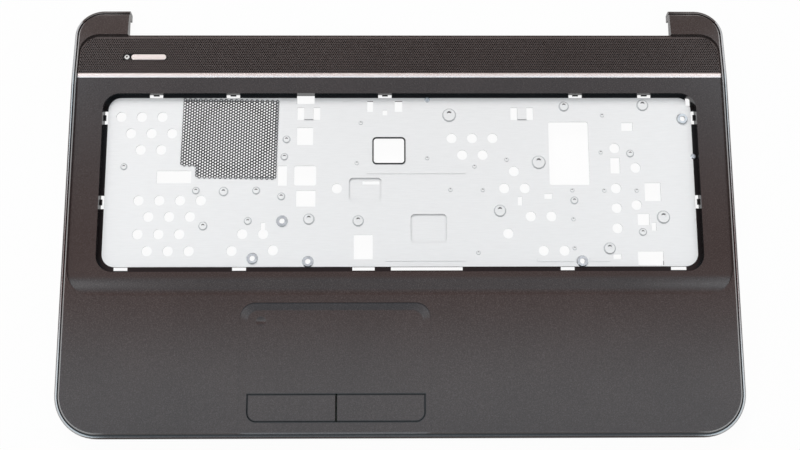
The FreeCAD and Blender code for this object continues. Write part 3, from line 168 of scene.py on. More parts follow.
# place along the cloth from front to rear, and the colour there
CLOTH_FOLDS = [
    (0.00, (0.50, 0.80, 1.00, 1.0)),
    (0.405, (0.50, 0.80, 1.00, 1.0)),
    (0.430, (2.10, 2.40, 2.60, 1.0)),
    (0.500, (1.90, 2.15, 2.30, 1.0)),
    (0.535, (0.40, 0.04, 0.00, 1.0)),
    (0.640, (0.55, 0.40, 0.40, 1.0)),
    (0.700, (0.70, 1.00, 1.20, 1.0)),
    (0.840, (0.60, 0.80, 0.90, 1.0)),
    (0.900, (0.36, 0.12, 0.06, 1.0)),
    (1.00, (0.30, 0.10, 0.06, 1.0)),
]
bpy.ops.mesh.primitive_plane_add(size=2 * CLOTH_HALF, location=(0, 0, CLOTH_HEIGHT))
cloth = bpy.context.object
cloth.name = "ceiling_cloth"
ceiling_cloth = bpy.data.materials.new("ceiling_cloth")
ceiling_cloth.use_nodes = True
tree = ceiling_cloth.node_tree
tree.nodes.clear()
along = tree.nodes.new("ShaderNodeSeparateXYZ")
tree.links.new(tree.nodes.new("ShaderNodeTexCoord").outputs["Generated"], along.inputs[0])
folds = tree.nodes.new("ShaderNodeValToRGB")
tree.links.new(along.outputs[1], folds.inputs["Fac"])
while len(folds.color_ramp.elements) < len(CLOTH_FOLDS):
    folds.color_ramp.elements.new(0.5)
for element, (spot, colour) in zip(folds.color_ramp.elements, CLOTH_FOLDS):
    element.position = spot
    element.color = colour
glow = tree.nodes.new("ShaderNodeEmission")
tree.links.new(folds.outputs["Color"], glow.inputs["Color"])
out = tree.nodes.new("ShaderNodeOutputMaterial")
tree.links.new(glow.outputs[0], out.inputs["Surface"])
cloth.data.materials.append(ceiling_cloth)
only_reflected(cloth)

# The dark surround: a low brown-grey curtain hung in a ring round the table.
# The steep edges of the rim reflect it, and nothing else sees it.
CURTAIN_RADIUS = 2.2
CURTAIN_HEIGHT = 1.6
bpy.ops.mesh.primitive_cylinder_add(vertices=64, radius=CURTAIN_RADIUS, depth=CURTAIN_HEIGHT,
                                    end_fill_type="NOTHING", location=(0, 0, CURTAIN_HEIGHT / 2))
curtain = bpy.context.object
curtain.name = "curtain"
curtain_brown = bpy.data.materials.new("curtain_brown")
curtain_brown.use_nodes = True
tree = curtain_brown.node_tree
tree.nodes.clear()
glow = tree.nodes.new("ShaderNodeEmission")
glow.inputs["Color"].default_value = (0.10, 0.07, 0.06, 1.0)
out = tree.nodes.new("ShaderNodeOutputMaterial")
tree.links.new(glow.outputs[0], out.inputs["Surface"])
curtain.data.materials.append(curtain_brown)
only_reflected(curtain)

# name, place, width, height, watts
SIDE_LIGHTS = [
    ("light_front_left", (-0.98, -0.50, 0.62), 1.2, 1.35, 10.0),
    ("light_front_right", (0.98, -0.50, 0.62), 1.2, 1.35, 10.0),
    ("light_rear_left", (-0.90, 0.60, 0.60), 0.6, 1.3, 5.5),
    ("light_rear_right", (0.90, 0.60, 0.60), 0.6, 1.3, 5.5),
]
SIDE_LIGHT_COLOUR = (0.90, 0.96, 1.0)
for name, place, width, height, watts in SIDE_LIGHTS:
    soft_lamp(name, place, width, height, watts, SIDE_LIGHT_COLOUR).visible_diffuse = False


# The cover: one injection-moulded shell of black plastic, with a satin dark-grey film over its top.
# The film carries a fine metallic fleck. The inside and the keyboard well stay bare black plastic.
def srgb(red, green, blue):
    """A colour as it is read off a screen, turned into the linear values that a shader takes."""
    levels = [v / 255 for v in (red, green, blue)]
    return tuple(v / 12.92 if v <= 0.04045 else ((v + 0.055) / 1.055) ** 2.4 for v in levels) + (1.0,)


def finish_named(name, roughness, metallic=0.0, specular=0.5):
    """A new shader with its plain numbers set on its own sockets."""
    material = bpy.data.materials.new(name)
    material.use_nodes = True
    shader = material.node_tree.nodes["Principled BSDF"]
    shader.inputs["Roughness"].default_value = roughness
    shader.inputs["Metallic"].default_value = metallic
    shader.inputs["Specular IOR Level"].default_value = specular
    return material, material.node_tree, shader


def place_on(tree):
    """The place on the object, in metres."""
    return tree.nodes.new("ShaderNodeTexCoord").outputs["Object"]


def place_xyz(tree):
    """The same place as three values."""
    split = tree.nodes.new("ShaderNodeSeparateXYZ")
    tree.links.new(place_on(tree), split.inputs[0])
    return split.outputs


def facing_up(tree):
    """One where the surface faces up, minus one where it faces down."""
    split = tree.nodes.new("ShaderNodeSeparateXYZ")
    tree.links.new(tree.nodes.new("ShaderNodeNewGeometry").outputs["Normal"], split.inputs[0])
    return split.outputs[2]


def grain(tree, scale, detail=2.0, stretch=None):
    """Noise over the surface: scale is how many grains to the metre."""
    noise = tree.nodes.new("ShaderNodeTexNoise")
    noise.inputs["Scale"].default_value = scale
    noise.inputs["Detail"].default_value = detail
    source = place_on(tree)
    if stretch:
        mapping = tree.nodes.new("ShaderNodeMapping")
        mapping.inputs["Scale"].default_value = stretch
        tree.links.new(source, mapping.inputs["Vector"])
        source = mapping.outputs["Vector"]
    tree.links.new(source, noise.inputs["Vector"])
    return noise.outputs["Fac"]


def ramp(tree, value, *stops):
    """Colours or greys along a value: each stop is a place from 0 to 1 and a colour."""
    node = tree.nodes.new("ShaderNodeValToRGB")
    tree.links.new(value, node.inputs["Fac"])
    elements = node.color_ramp.elements
    while len(elements) < len(stops):
        elements.new(0.5)
    for element, (spot, colour) in zip(elements, stops):
        element.position = spot
        element.color = colour
    return node.outputs["Color"]


def mottled(tree, shader, grains, dark, light):
    """A base colour that wanders between two tones, with so many grains to the metre."""
    tree.links.new(ramp(tree, grain(tree, grains), (0.3, dark), (0.7, light)), shader.inputs["Base Color"])


def blend(tree, fac, first, second, mode="MIX"):
    """Two colours mixed or multiplied by a share."""
    node = tree.nodes.new("ShaderNodeMix")
    node.data_type = "RGBA"
    node.blend_type = mode
    for socket, value in ((node.inputs[0], fac), (node.inputs[6], first), (node.inputs[7], second)):
        if isinstance(value, (int, float, tuple)):
            socket.default_value = value
        else:
            tree.links.new(value, socket)
    return node.outputs[2]


def bumped(tree, shader, height, distance, strength):
    """A fine roughness that only bends the light."""
    bump = tree.nodes.new("ShaderNodeBump")
    bump.inputs["Distance"].default_value = distance
    bump.inputs["Strength"].default_value = strength
    tree.links.new(height, bump.inputs["Height"])
    tree.links.new(bump.outputs["Normal"], shader.inputs["Normal"])


FILM_DARK = srgb(57, 49, 47)
FILM_MID = srgb(66, 57, 55)
FILM_FLECK = srgb(84, 76, 75)
FLECKS_PER_METRE = 1900.0
CLOUD_DARK = (0.94, 0.94, 0.94, 1.0)
CLOUD_LIGHT = (1.05, 1.05, 1.05, 1.0)
CLOUDS_PER_METRE = 26.0
FILM_GRAINS = 2600.0
FILM_GRAIN_HEIGHT = 0.00003
FILM_GRAIN_STRENGTH = 0.25
BARE_BLACK = srgb(26, 24, 25)
INSIDE_X = 0.2032
INSIDE_FRONT = -0.1316
INSIDE_REAR = 0.1152
PALM_INSIDE_TOP = 0.0117
FACES_DOWN = -0.3
STRIP_START = 0.0878
STRIP_FALL = math.tan(math.radians(8.0))


def film_colour(tree):
    """Dark warm grey film with a fine light fleck in it."""
    flecks = grain(tree, FLECKS_PER_METRE, 1.0)
    fleck = ramp(tree, flecks, (0.36, FILM_DARK), (0.55, FILM_MID), (0.78, FILM_FLECK))
    cloud = ramp(tree, grain(tree, CLOUDS_PER_METRE), (0.35, CLOUD_DARK), (0.65, CLOUD_LIGHT))
    return blend(tree, 1.0, fleck, cloud, "MULTIPLY")


def film_grain(tree, shader):
    """The film's fine grain."""
    bumped(tree, shader, grain(tree, FILM_GRAINS), FILM_GRAIN_HEIGHT, FILM_GRAIN_STRENGTH)


def inside_mask(tree):
    """One on the bare inside and in the keyboard well, zero on the filmed top."""
    x, y, z = place_xyz(tree)
    away = math_node(tree, "MAXIMUM", math_node(tree, "SUBTRACT", y, STRIP_START), 0.0)
    level = math_node(tree, "ADD", z, math_node(tree, "MULTIPLY", away, STRIP_FALL))
    inner = math_node(tree, "LESS_THAN", math_node(tree, "ABSOLUTE", x), INSIDE_X)
    inner = math_node(tree, "MULTIPLY", inner, math_node(tree, "GREATER_THAN", y, INSIDE_FRONT))
    inner = math_node(tree, "MULTIPLY", inner, math_node(tree, "LESS_THAN", y, INSIDE_REAR))
    inner = math_node(tree, "MULTIPLY", inner, math_node(tree, "LESS_THAN", level, PALM_INSIDE_TOP))
    under = math_node(tree, "LESS_THAN", facing_up(tree), FACES_DOWN)
    return math_node(tree, "MAXIMUM", inner, under)


def round_box(tree, low_x, high_x, low_y, high_y, radius):
    """How far a point lies outside a box with rounded corners, seen in plan. Negative is inside."""
    x, y, z = place_xyz(tree)
    out_by = []
    for value, low, high in ((x, low_x, high_x), (y, low_y, high_y)):
        off = math_node(tree, "ABSOLUTE", math_node(tree, "SUBTRACT", value, (low + high) / 2))
        out_by.append(math_node(tree, "SUBTRACT", off, (high - low) / 2 - radius))
    beyond = [math_node(tree, "POWER", math_node(tree, "MAXIMUM", off, 0.0), 2.0) for off in out_by]
    corner = math_node(tree, "SQRT", math_node(tree, "ADD", *beyond))
    within = math_node(tree, "MINIMUM", math_node(tree, "MAXIMUM", *out_by), 0.0)
    return math_node(tree, "SUBTRACT", math_node(tree, "ADD", corner, within), radius)


def line_at(tree, distance, offset, half_width):
    """One on a line that runs at an offset from an outline, falling to zero half a width away."""
    off = math_node(tree, "ABSOLUTE", math_node(tree, "SUBTRACT", distance, offset))
    fall = math_node(tree, "SUBTRACT", 1.0, math_node(tree, "DIVIDE", off, half_width))
    return math_node(tree, "MAXIMUM", fall, 0.0)


def deepened(tree, line, times):
    """A shaded line made darker, up to full."""
    return math_node(tree, "MINIMUM", math_node(tree, "MULTIPLY", line, times), 1.0)


def bar_slot_shade(tree):
    """Painted shade along the slot round the two click buttons: square at the rear, rounded at the front
    corners.
    """
    x, y, z = place_xyz(tree)
    distance = round_box(tree, BAR_LEFT, BAR_RIGHT, BAR_FRONT, BAR_REAR + BAR_PAST_REAR, BAR_ROUND)
    before = math_node(tree, "LESS_THAN", y, BAR_REAR + SLOT_SHADE_HALF / 2)
    sides = math_node(tree, "MULTIPLY", line_at(tree, distance, 0.0, SLOT_SHADE_HALF), before)
    between = math_node(tree, "LESS_THAN", distance, SLOT_SHADE_HALF / 2)
    rear = math_node(tree, "MULTIPLY", line_at(tree, y, BAR_REAR, SLOT_SHADE_HALF), between)
    return deepened(tree, math_node(tree, "MAXIMUM", sides, rear), SLOT_SHADE_DEPTH)


RIM_HALF_X = 0.2060
RIM_FRONT = -0.1340
RIM_REAR = 0.1340
RIM_FRONT_ROUND = 0.0265
RIM_REAR_ROUND = 0.0175
RIM_PAST_CORNERS = 0.1
RIM_GLOSS_WIDTH = 0.0037
GLOSS_FROM_X = 0.172
GLOSS_FADE = 0.012
GLOSS_LEAST = 0.15
GROOVE_INSET = 0.0023
GROOVE_SHADE_HALF = 0.0007
GROOVE_SHADE_DEPTH = 2.0
SLOT_SHADE = srgb(20, 16, 16)
SLOT_SHADE_HALF = 0.0009
SLOT_SHADE_DEPTH = 1.8
PAD_LEFT, PAD_RIGHT, PAD_TOP = -0.0964, 0.0178, -0.0539
PAD_PAST_FRONT = -0.30
PAD_ROUND = 0.0090
CREASE_SHADE_FADE_END = -0.066
CREASE_SHADE_FADE = 0.010
CREASE_SHADE_LEAST = 0.12
BAR_LEFT, BAR_RIGHT, BAR_FRONT, BAR_REAR = -0.0912, 0.01415, -0.1240, -0.1081
BAR_ROUND = 0.0055
BAR_PAST_REAR = 0.03
CREASE_SHADE_HALF = 0.00060
cover_film, tree, shader = finish_named("cover_film", 0.19, specular=0.35)
x, y, z = place_xyz(tree)
dish = round_box(tree, PAD_LEFT, PAD_RIGHT, PAD_PAST_FRONT, PAD_TOP, PAD_ROUND)
fade = math_node(tree, "DIVIDE", math_node(tree, "SUBTRACT", y, CREASE_SHADE_FADE_END), CREASE_SHADE_FADE)
fade = math_node(tree, "MINIMUM", math_node(tree, "MAXIMUM", fade, CREASE_SHADE_LEAST), 1.0)
# Painted shade: a dark line along the touchpad's upper border and sides, fading toward its front.
crease_shade = math_node(tree, "MULTIPLY", line_at(tree, dish, 0.0, CREASE_SHADE_HALF), fade)
front_rim = round_box(tree, -RIM_HALF_X, RIM_HALF_X, RIM_FRONT, RIM_REAR + RIM_PAST_CORNERS, RIM_FRONT_ROUND)
rear_rim = round_box(tree, -RIM_HALF_X, RIM_HALF_X, RIM_FRONT - RIM_PAST_CORNERS, RIM_REAR, RIM_REAR_ROUND)
rim = math_node(tree, "MAXIMUM", front_rim, rear_rim)
# Painted shade: a dark line along the rim's groove, where the coat is also taken off.
groove_shade = deepened(tree, line_at(tree, rim, -GROOVE_INSET, GROOVE_SHADE_HALF), GROOVE_SHADE_DEPTH)
shade = math_node(tree, "MAXIMUM", crease_shade, bar_slot_shade(tree))
shade = math_node(tree, "MAXIMUM", shade, groove_shade)
creased = blend(tree, shade, film_colour(tree), SLOT_SHADE)
tree.links.new(blend(tree, inside_mask(tree), creased, BARE_BLACK), shader.inputs["Base Color"])
polished = math_node(tree, "MULTIPLY", math_node(tree, "GREATER_THAN", rim, -RIM_GLOSS_WIDTH),
                     math_node(tree, "SUBTRACT", 1.0, groove_shade))
side = math_node(tree, "SUBTRACT", math_node(tree, "ABSOLUTE", x), GLOSS_FROM_X)
side = math_node(tree, "DIVIDE", side, GLOSS_FADE)
side = math_node(tree, "MINIMUM", math_node(tree, "MAXIMUM", side, GLOSS_LEAST), 1.0)
tree.links.new(math_node(tree, "MULTIPLY", polished, side), shader.inputs["Coat Weight"])
shader.inputs["Coat Roughness"].default_value = 0.10
shader.inputs["Coat IOR"].default_value = 2.5
film_grain(tree, shader)
nodes["palm_rest_shell"].material_slots[0].material = cover_film


# The speaker strip: a thin moulded sheet let into the deck behind the trim, pierced all over with
# small hexagonal holes. It is glued to the web below it and falls eight degrees to the rear.
def piece(name, mesh, material, body="cover"):
    """A mesh made into a piece that rides on one body."""
    made = bpy.data.objects.new(name, mesh)
    scene.collection.objects.link(made)
    mesh.materials.append(material)
    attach(made, body)
    return made


def mesh_from(bm, name):
    """The finished mesh, with its faces turned outward."""
    mesh = bpy.data.meshes.new(name)
    bmesh.ops.recalc_face_normals(bm, faces=bm.faces)
    bm.to_mesh(mesh)
    bm.free()
    return mesh


def regular(x, y, reach, sides, turn=0.0):
    """Corners of a regular polygon."""
    angles = [turn + 2 * math.pi * k / sides for k in range(sides)]
    return [(x + reach * math.cos(a), y + reach * math.sin(a)) for a in angles]


def clipped(corners, edges):
    """A convex cell cut off by each edge: a point and its inward direction."""
    for px, py, nx, ny in edges:
        kept = []
        for (ax, ay), (bx, by) in zip(corners, corners[1:] + corners[:1]):
            a = (ax - px) * nx + (ay - py) * ny
            b = (bx - px) * nx + (by - py) * ny
            if a >= 0:
                kept.append((ax, ay))
            if (a >= 0) != (b >= 0):
                t = a / (a - b)
                kept.append((ax + (bx - ax) * t, ay + (by - ay) * t))
        corners = kept
        if len(corners) < 3:
            return []
    return corners


def cell_ring(bm, lift, cell, hole, top, bottom, closed_below):
    """One hexagonal cell of pierced sheet: its top, the hole's wall, and its underside."""
    count = len(cell)
    rim = [bm.verts.new(lift(x, y, top)) for x, y in cell]
    mouth = [bm.verts.new(lift(x, y, top)) for x, y in hole]
    foot = [bm.verts.new(lift(x, y, bottom)) for x, y in hole]
    base = [bm.verts.new(lift(x, y, bottom)) for x, y in cell] if closed_below else None
    for k in range(count):
        n = (k + 1) % count
        bm.faces.new((rim[k], rim[n], mouth[n], mouth[k]))
        bm.faces.new((mouth[k], mouth[n], foot[n], foot[k]))
        if base:
            bm.faces.new((foot[k], foot[n], base[n], base[k]))


STRIP_PITCH_X = 0.00138
STRIP_PITCH_Y = 0.00118
STRIP_HOLE = 0.00056
STRIP_SKIN = 0.00050
STRIP_THICKNESS = 0.0008
STRIP_WELD = 0.00002
STRIP_CORNER = 0.0118
POWER_X = -0.15825
POWER_ALONG = 0.0111
POWER_HALF = 0.01095
POWER_ROUND = 0.00185
POWER_MARGIN = 0.0009
LED_X = -0.1720
LED_Y = 0.1020
LED_HOLE = 0.0017
strip_low, strip_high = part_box("speaker_grille")
strip_front = strip_low[1]
strip_top = strip_high[2]
strip_half = strip_high[0]
TILT = math.radians(8.0)
strip_length = (strip_high[1] - strip_low[1]) / math.cos(TILT)


def on_strip(x, along, up):
    """From a place on the level strip to its place on the falling one."""
    return (x, strip_front + along * math.cos(TILT) + up * math.sin(TILT),
            strip_top - along * math.sin(TILT) + up * math.cos(TILT))


def strip_edges():
    """The strip's outline as straight cuts: sides, front, rear and two rounded corners."""
    edges = [(-strip_half, 0, 1, 0), (strip_half, 0, -1, 0), (0, 0, 0, 1), (0, strip_length, 0, -1)]
    for side in (-1, 1):
        cx = side * (strip_half - STRIP_CORNER)
        cy = strip_length - STRIP_CORNER
        for k in range(1, 6):
            a = math.radians(15 * k)
            nx, ny = side * math.cos(a), math.sin(a)
            edges.append((cx + nx * STRIP_CORNER, cy + ny * STRIP_CORNER, -nx, -ny))
    return edges


def near_power(x, along, margin):
    """True over the power button and its light."""
    reach = abs(x - POWER_X) - (POWER_HALF - POWER_ROUND)
    off = math.hypot(max(reach, 0.0), along - POWER_ALONG)
    return off < POWER_ROUND + margin or math.hypot(x - LED_X, along - POWER_ALONG) < LED_HOLE + margin


def pierced_strip():
    """Rows of hexagonal cells over the whole strip, plain where they meet its edge."""
    bm = bmesh.new()
    edges = strip_edges()
    reach = STRIP_PITCH_X / math.sqrt(3)
    rows = int(strip_length / STRIP_PITCH_Y) + 2
    columns = int(2 * strip_half / STRIP_PITCH_X) + 2
    for row in range(rows):
        along = row * STRIP_PITCH_Y
        shift = 0.5 * STRIP_PITCH_X if row % 2 else 0.0
        for column in range(-columns // 2, columns // 2 + 1):
            x = column * STRIP_PITCH_X + shift
            if near_power(x, along, POWER_MARGIN):
                continue
            whole = regular(x, along, reach, 6, math.pi / 6)
            cell = clipped(whole, edges)
            if not cell:
                continue
            hole = regular(x, along, STRIP_HOLE, 6, math.pi / 6)
            if len(cell) == 6 and clipped(hole, edges) == hole:
                cell_ring(bm, on_strip, whole, hole, 0.0, -STRIP_SKIN, False)
            else:
                bm.faces.new([bm.verts.new(on_strip(cx, cy, 0.0)) for cx, cy in cell])
    bmesh.ops.remove_doubles(bm, verts=bm.verts, dist=STRIP_WELD)
    return mesh_from(bm, "speaker_strip")


STRIP_LIGHTER = (1.45, 1.45, 1.45, 1.0)
strip_film, tree, shader = finish_named("strip_film", 0.30, specular=0.35)
tree.links.new(blend(tree, 1.0, film_colour(tree), STRIP_LIGHTER, "MULTIPLY"), shader.inputs["Base Color"])
film_grain(tree, shader)
strip = piece("speaker_strip", pierced_strip(), strip_film)
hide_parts("speaker_grille")

# The strip's backing: the sheet's own solid floor, seen as the dark bottom of each hole.
# It is the same black plastic as the cover, left bare.
strip_black, tree, shader = finish_named("strip_black", 0.6, specular=0.2)
mottled(tree, shader, 900.0, srgb(14, 13, 13), srgb(22, 20, 20))


def strip_backing():
    """A thin slab in the strip's outline."""
    bm = bmesh.new()
    outline = [(-strip_half, 0), (strip_half, 0), (strip_half, strip_length), (-strip_half, strip_length)]
    outline = clipped(outline, strip_edges())
    top = [bm.verts.new(on_strip(x, y, -STRIP_SKIN)) for x, y in outline]
    bottom = [bm.verts.new(on_strip(x, y, -STRIP_THICKNESS)) for x, y in outline]
    bm.faces.new(top)
    bm.faces.new(bottom)
    for k in range(len(top)):
        n = (k + 1) % len(top)
        bm.faces.new((top[k], top[n], bottom[n], bottom[k]))
    return mesh_from(bm, "speaker_strip_backing")


backing = piece("speaker_strip_backing", strip_backing(), strip_black)
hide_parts("speaker_grille")

# The trim and the power button: plastic mouldings metallised in rose silver. The trim is bonded along
# the front of the strip, and the button is a pill-shaped key that presses a switch under the strip.
rose_silver, tree, shader = finish_named("rose_silver", 0.30, metallic=0.45)
streak = grain(tree, 90.0, 3.0, stretch=(1.0, 30.0, 30.0))
silver = ramp(tree, streak, (0.3, srgb(234, 219, 214)), (0.7, srgb(243, 231, 227)))
tree.links.new(silver, shader.inputs["Base Color"])
for name in ("trim_strip", "power_button"):
    nodes[name].material_slots[0].material = rose_silver

# The power light: a small lamp on the board, and over it a round light guide pushed through the strip.
# The guide is milky plastic with a darker core.
LED_RING_IN = 0.0007
frosted, tree, shader = finish_named("frosted", 0.35)
mottled(tree, shader, 700.0, srgb(206, 204, 203), srgb(226, 225, 224))
nodes["power_led"].material_slots[0].material = frosted
led_ring, tree, shader = finish_named("led_ring", 0.25)
from_centre = round_box(tree, LED_X, LED_X, LED_Y, LED_Y, 0.0)
pupil = math_node(tree, "LESS_THAN", from_centre, LED_RING_IN)
milk = ramp(tree, grain(tree, 700.0), (0.3, srgb(222, 220, 218)), (0.7, srgb(238, 237, 235)))
tree.links.new(blend(tree, pupil, milk, srgb(70, 62, 60)), shader.inputs["Base Color"])
nodes["power_led_lens"].material_slots[0].material = led_ring

# The keyboard plate: half-millimetre aluminium sheet, stamped, pierced and left matt. It lies on the
# ledge in the well, held by two rivets, and carries the keyboard.
WALL_SHADE_BELOW = 0.25
SLOPE_SHADE_BELOW = 0.96
plate_metal, tree, shader = finish_named("plate_metal", 0.45, metallic=0.10, specular=0.4)
rolled = grain(tree, 120.0, 4.0, stretch=(1.0, 12.0, 1.0))
upright = math_node(tree, "ABSOLUTE", facing_up(tree))
flat = ramp(tree, rolled, (0.3, srgb(236, 235, 234)), (0.7, srgb(240, 239, 238)))
# Painted shade: sloped faces of the bosses are coloured a darker grey, and steep walls such as hole edges
# darker still.
slope_shade = blend(tree, math_node(tree, "LESS_THAN", upright, SLOPE_SHADE_BELOW), flat, srgb(196, 197, 198))
wall_shade = blend(tree, math_node(tree, "LESS_THAN", upright, WALL_SHADE_BELOW), slope_shade, srgb(120, 121, 122))
tree.links.new(wall_shade, shader.inputs["Base Color"])
bumped(tree, shader, grain(tree, 1500.0), 0.00002, 0.3)
nodes["keyboard_plate"].material_slots[0].material = plate_metal

# The boss marks: painted shade, a dark half-moon in the crown of each pressed boss, where its hollow lies in
# shade.
# Each lies on its boss, toward the rear.
# x and y of each boss and the radius of its foot, in millimetres
BIG_BOSSES = [(30.7, 64.6, 4.6), (86.2, 34.2, 4.6), (61.5, 3.5, 4.1), (162.5, -0.6, 4.4), (128.5, -20.1, 4.0),
              (152.5, 71.0, 4.0), (102.9, 70.2, 3.5), (-26.1, -2.7, 3.8), (-56.5, -1.6, 3.8)]
MEDIUM_BOSSES = [(-71.0, 49.0, 2.8), (-72.2, 37.9, 2.7), (-126.5, 16.4, 2.7), (-109.4, 15.8, 3.3),
                 (-89.3, 16.4, 2.8), (-73.7, 12.7, 2.8), (-121.5, -5.8, 3.1), (-94.0, -2.7, 2.8),
                 (143.5, 39.8, 2.8), (107.7, 10.0, 2.8), (149.4, -9.9, 2.8), (-171.6, 31.6, 2.5)]
SMALL_BOSSES = [(-24.7, 59.7), (-27.1, 33.9), (16.8, 37.0), (31.0, 16.9), (126.9, 64.6), (46.1, 31.7),
                (66.2, 36.0), (51.1, 16.7), (106.6, 16.5), (126.5, 16.3), (146.7, 16.3), (125.2, 40.7),
                (106.8, -1.7), (47.8, -22.6), (107.0, -19.8)]
SMALL_BOSS_REACH = 1.5
PLATE_FACE = 0.0074
BIG_CROWN, MEDIUM_CROWN, SMALL_CROWN = 0.0005, 0.0006, 0.0004
MARK_THICKNESS = 0.00004
MARK_POINTS = 9
MARK_FROM, MARK_SWEEP = 10, 160
MARK_INNER_WIDE, MARK_INNER_HIGH = 0.9, 0.3


def half_moon(bm, x, y, z, reach):
    """A thin half-moon with its round side to the rear."""
    sweep = [math.radians(MARK_FROM + MARK_SWEEP * k / (MARK_POINTS - 1)) for k in range(MARK_POINTS)]
    outline = [(x + reach * math.cos(a), y + reach * math.sin(a)) for a in sweep]
    outline += [(x + MARK_INNER_WIDE * reach * math.cos(a), y + MARK_INNER_HIGH * reach * math.sin(a))
                for a in reversed(sweep)]
    top = [bm.verts.new((px, py, z + MARK_THICKNESS)) for px, py in outline]
    low = [bm.verts.new((px, py, z)) for px, py in outline]
    bm.faces.new(top)
    bm.faces.new(low)
    for k in range(len(outline)):
        n = (k + 1) % len(outline)
        bm.faces.new((top[k], top[n], low[n], low[k]))


def boss_shade_marks():
    """One half-moon on each boss: its size and its shift to the rear are shares of the boss's foot."""
    bm = bmesh.new()
    small = [(x, y, SMALL_BOSS_REACH) for x, y in SMALL_BOSSES]
    for places, crown, share, shift in ((BIG_BOSSES, BIG_CROWN, 0.30, 0.22),
                                        (MEDIUM_BOSSES, MEDIUM_CROWN, 0.36, 0.05),
                                        (small, SMALL_CROWN, 0.45, 0.05)):
        for x, y, foot in places:
            half_moon(bm, x / 1000, (y + shift * foot) / 1000, PLATE_FACE + crown, share * foot / 1000)
    return mesh_from(bm, "boss_shade_marks")


boss_shade_grey, tree, shader = finish_named("boss_shade_grey", 0.5, metallic=0.2)
mottled(tree, shader, 900.0, srgb(78, 74, 74), srgb(112, 108, 108))
piece("boss_shade_marks", boss_shade_marks(), boss_shade_grey)

# The fan mesh: a thin dark sheet etched with close hexagonal holes and bonded over the fan opening.
# It is dished round the fan, and it sits a little askew on the plate.
MESH_PITCH = 0.00186
MESH_HOLE = 0.00066
MESH_START = 0.6
MESH_WELD = 0.00003
MESH_TURN = math.radians(-1.2)
mesh_low, mesh_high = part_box("fan_mesh")
MESH_STEP_X = 0.0100
MESH_STEP_Y = 0.0078
DISH_X = -0.1040
DISH_Y = 0.0515
DISH_IN = 0.0185
DISH_OUT = 0.0225
DISH_DEPTH = 0.0006


def on_mesh(x, y, up):
    """Turned a little about the sheet's centre, and dished round the fan."""
    cx = (mesh_low[0] + mesh_high[0]) / 2
    cy = (mesh_low[1] + mesh_high[1]) / 2
    dx, dy = x - cx, y - cy
    tx = cx + dx * math.cos(MESH_TURN) - dy * math.sin(MESH_TURN)
    ty = cy + dx * math.sin(MESH_TURN) + dy * math.cos(MESH_TURN)
    away = math.hypot(tx - DISH_X, ty - DISH_Y)
    t = min(max((away - DISH_IN) / (DISH_OUT - DISH_IN), 0.0), 1.0)
    dish = DISH_DEPTH * (1 - t * t * (3 - 2 * t))
    return (tx, ty, mesh_low[2] + up + dish)


def fine_mesh():
    """Columns of close hexagonal cells, with the sheet's stepped corner left out."""
    bm = bmesh.new()
    left, right = mesh_low[0], mesh_high[0]
    front, rear = mesh_low[1], mesh_high[1]
    column_pitch = MESH_PITCH * math.sqrt(3) / 2
    columns = int((right - left) / column_pitch)
    rows = int((rear - front) / MESH_PITCH)
    thick = mesh_high[2] - mesh_low[2]
    for column in range(columns):
        x = right - column_pitch * (column + MESH_START)
        shift = 0.5 * MESH_PITCH if column % 2 else 0.0
        for row in range(rows):
            y = rear - MESH_PITCH * (row + MESH_START) - shift
            if x < left + MESH_STEP_X and y < front + MESH_STEP_Y:
                continue
            cell = regular(x, y, MESH_PITCH / math.sqrt(3), 6)
            cell_ring(bm, on_mesh, cell, regular(x, y, MESH_HOLE, 6), thick, 0.0, True)
    bmesh.ops.remove_doubles(bm, verts=bm.verts, dist=MESH_WELD)
    return mesh_from(bm, "fan_mesh_fine")


# Three round spots where the sheet is coloured darker: x and y
DARK_SPOTS = [(-0.1275, 0.0722), (-0.0801, 0.0700), (-0.0868, 0.0362)]
DARK_SPOT_REACH = 0.0026
RING_SHADE_MIDDLE = 0.0215
RING_SHADE_HALF = 0.0030
RING_SHADE_DEPTH = 1.6
mesh_grey, tree, shader = finish_named("mesh_grey", 0.5, metallic=0.2, specular=0.4)
grey = ramp(tree, grain(tree, 800.0), (0.3, srgb(46, 45, 46)), (0.7, srgb(70, 69, 70)))
# Painted shade: the mesh is coloured darker in a ring where the dish slopes round the fan.
ring_shade = line_at(tree, round_box(tree, DISH_X, DISH_X, DISH_Y, DISH_Y, 0.0), RING_SHADE_MIDDLE, RING_SHADE_HALF)
darker = deepened(tree, ring_shade, RING_SHADE_DEPTH)
for x, y in DARK_SPOTS:
    spot = line_at(tree, round_box(tree, x, x, y, y, 0.0), 0.0, DARK_SPOT_REACH)
    darker = math_node(tree, "MAXIMUM", darker, spot)
tree.links.new(blend(tree, darker, grey, srgb(16, 15, 16)), shader.inputs["Base Color"])
fan_sheet = piece("fan_mesh_fine", fine_mesh(), mesh_grey)
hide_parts("fan_mesh")

# The window's edging: a strip of black rubber with a groove in it.
# It is pressed over the cut edge of the ribbon window and keeps the ribbon from chafing.
edging_rubber, tree, shader = finish_named("edging_rubber", 0.7, specular=0.3)
mottled(tree, shader, 600.0, srgb(22, 22, 22), srgb(38, 37, 37))
nodes["window_edging"].material_slots[0].material = edging_rubber

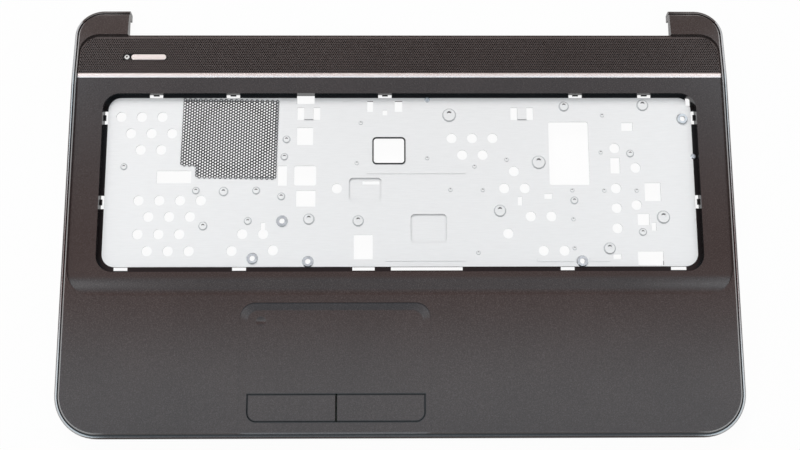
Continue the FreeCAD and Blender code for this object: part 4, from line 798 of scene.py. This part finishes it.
# The steel pieces: rings swaged into the plate, and rivets through its edge into the ledge.
# Under the cover, the strap that carries the click board, and four small screws.
plain_steel, tree, shader = finish_named("plain_steel", 0.35, metallic=0.9)
mottled(tree, shader, 500.0, srgb(176, 178, 180), srgb(206, 208, 209))
for name in ("plate_standoffs", "plate_rivets", "click_bracket", "board_screws"):
    nodes[name].material_slots[0].material = plain_steel

# The click buttons: two hollow moulded caps with the same film as the cover.
# They are held under its skin by their flanges. A slot runs round and between them, and painted shade darkens
# their film along it.
BAR_DIVIDE = -0.0385
button_film, tree, shader = finish_named("button_film", 0.19, specular=0.35)
x, y, z = place_xyz(tree)
# Painted shade along the slot between the two buttons.
divide_shade = line_at(tree, x, BAR_DIVIDE, SLOT_SHADE_HALF)
shade = math_node(tree, "MAXIMUM", bar_slot_shade(tree), divide_shade)
tree.links.new(blend(tree, shade, film_colour(tree), SLOT_SHADE), shader.inputs["Base Color"])
film_grain(tree, shader)
for name in ("left_click_button", "right_click_button"):
    nodes[name].material_slots[0].material = button_film

# The boards: green glass-fibre under solder resist.
# The power and click boards are screwed under the cover, and the touchpad's is bonded to its skin.
board_green, tree, shader = finish_named("board_green", 0.4)
weave = grain(tree, 300.0, 1.0, stretch=(1.0, 1.0, 0.1))
resist = ramp(tree, weave, (0.42, srgb(18, 62, 38)), (0.58, srgb(26, 78, 48)))
tree.links.new(resist, shader.inputs["Base Color"])
for name in ("power_button_board", "click_board", "touchpad_board"):
    nodes[name].material_slots[0].material = board_green

# The switches, the chip and the sockets: small moulded parts soldered to the boards.
# Bodies and chip are black, and the switches' stems and the sockets are cream nylon.
part_black, tree, shader = finish_named("part_black", 0.5)
mottled(tree, shader, 900.0, srgb(24, 24, 25), srgb(36, 36, 37))
for name in ("power_switch", "left_click_switch", "right_click_switch", "touchpad_chip"):
    nodes[name].material_slots[0].material = part_black
part_cream, tree, shader = finish_named("part_cream", 0.5)
mottled(tree, shader, 900.0, srgb(214, 208, 190), srgb(228, 223, 207))
for name in ("power_switch_stem", "left_switch_stem", "right_switch_stem",
             "power_connector", "click_connector", "touchpad_connector"):
    nodes[name].material_slots[0].material = part_cream

# The screw inserts: turned brass sleeves, melted into the bosses.
# They take the screws of the laptop's base.
insert_brass, tree, shader = finish_named("insert_brass", 0.35, metallic=1.0)
mottled(tree, shader, 900.0, srgb(181, 150, 88), srgb(204, 174, 108))
nodes["threaded_inserts"].material_slots[0].material = insert_brass
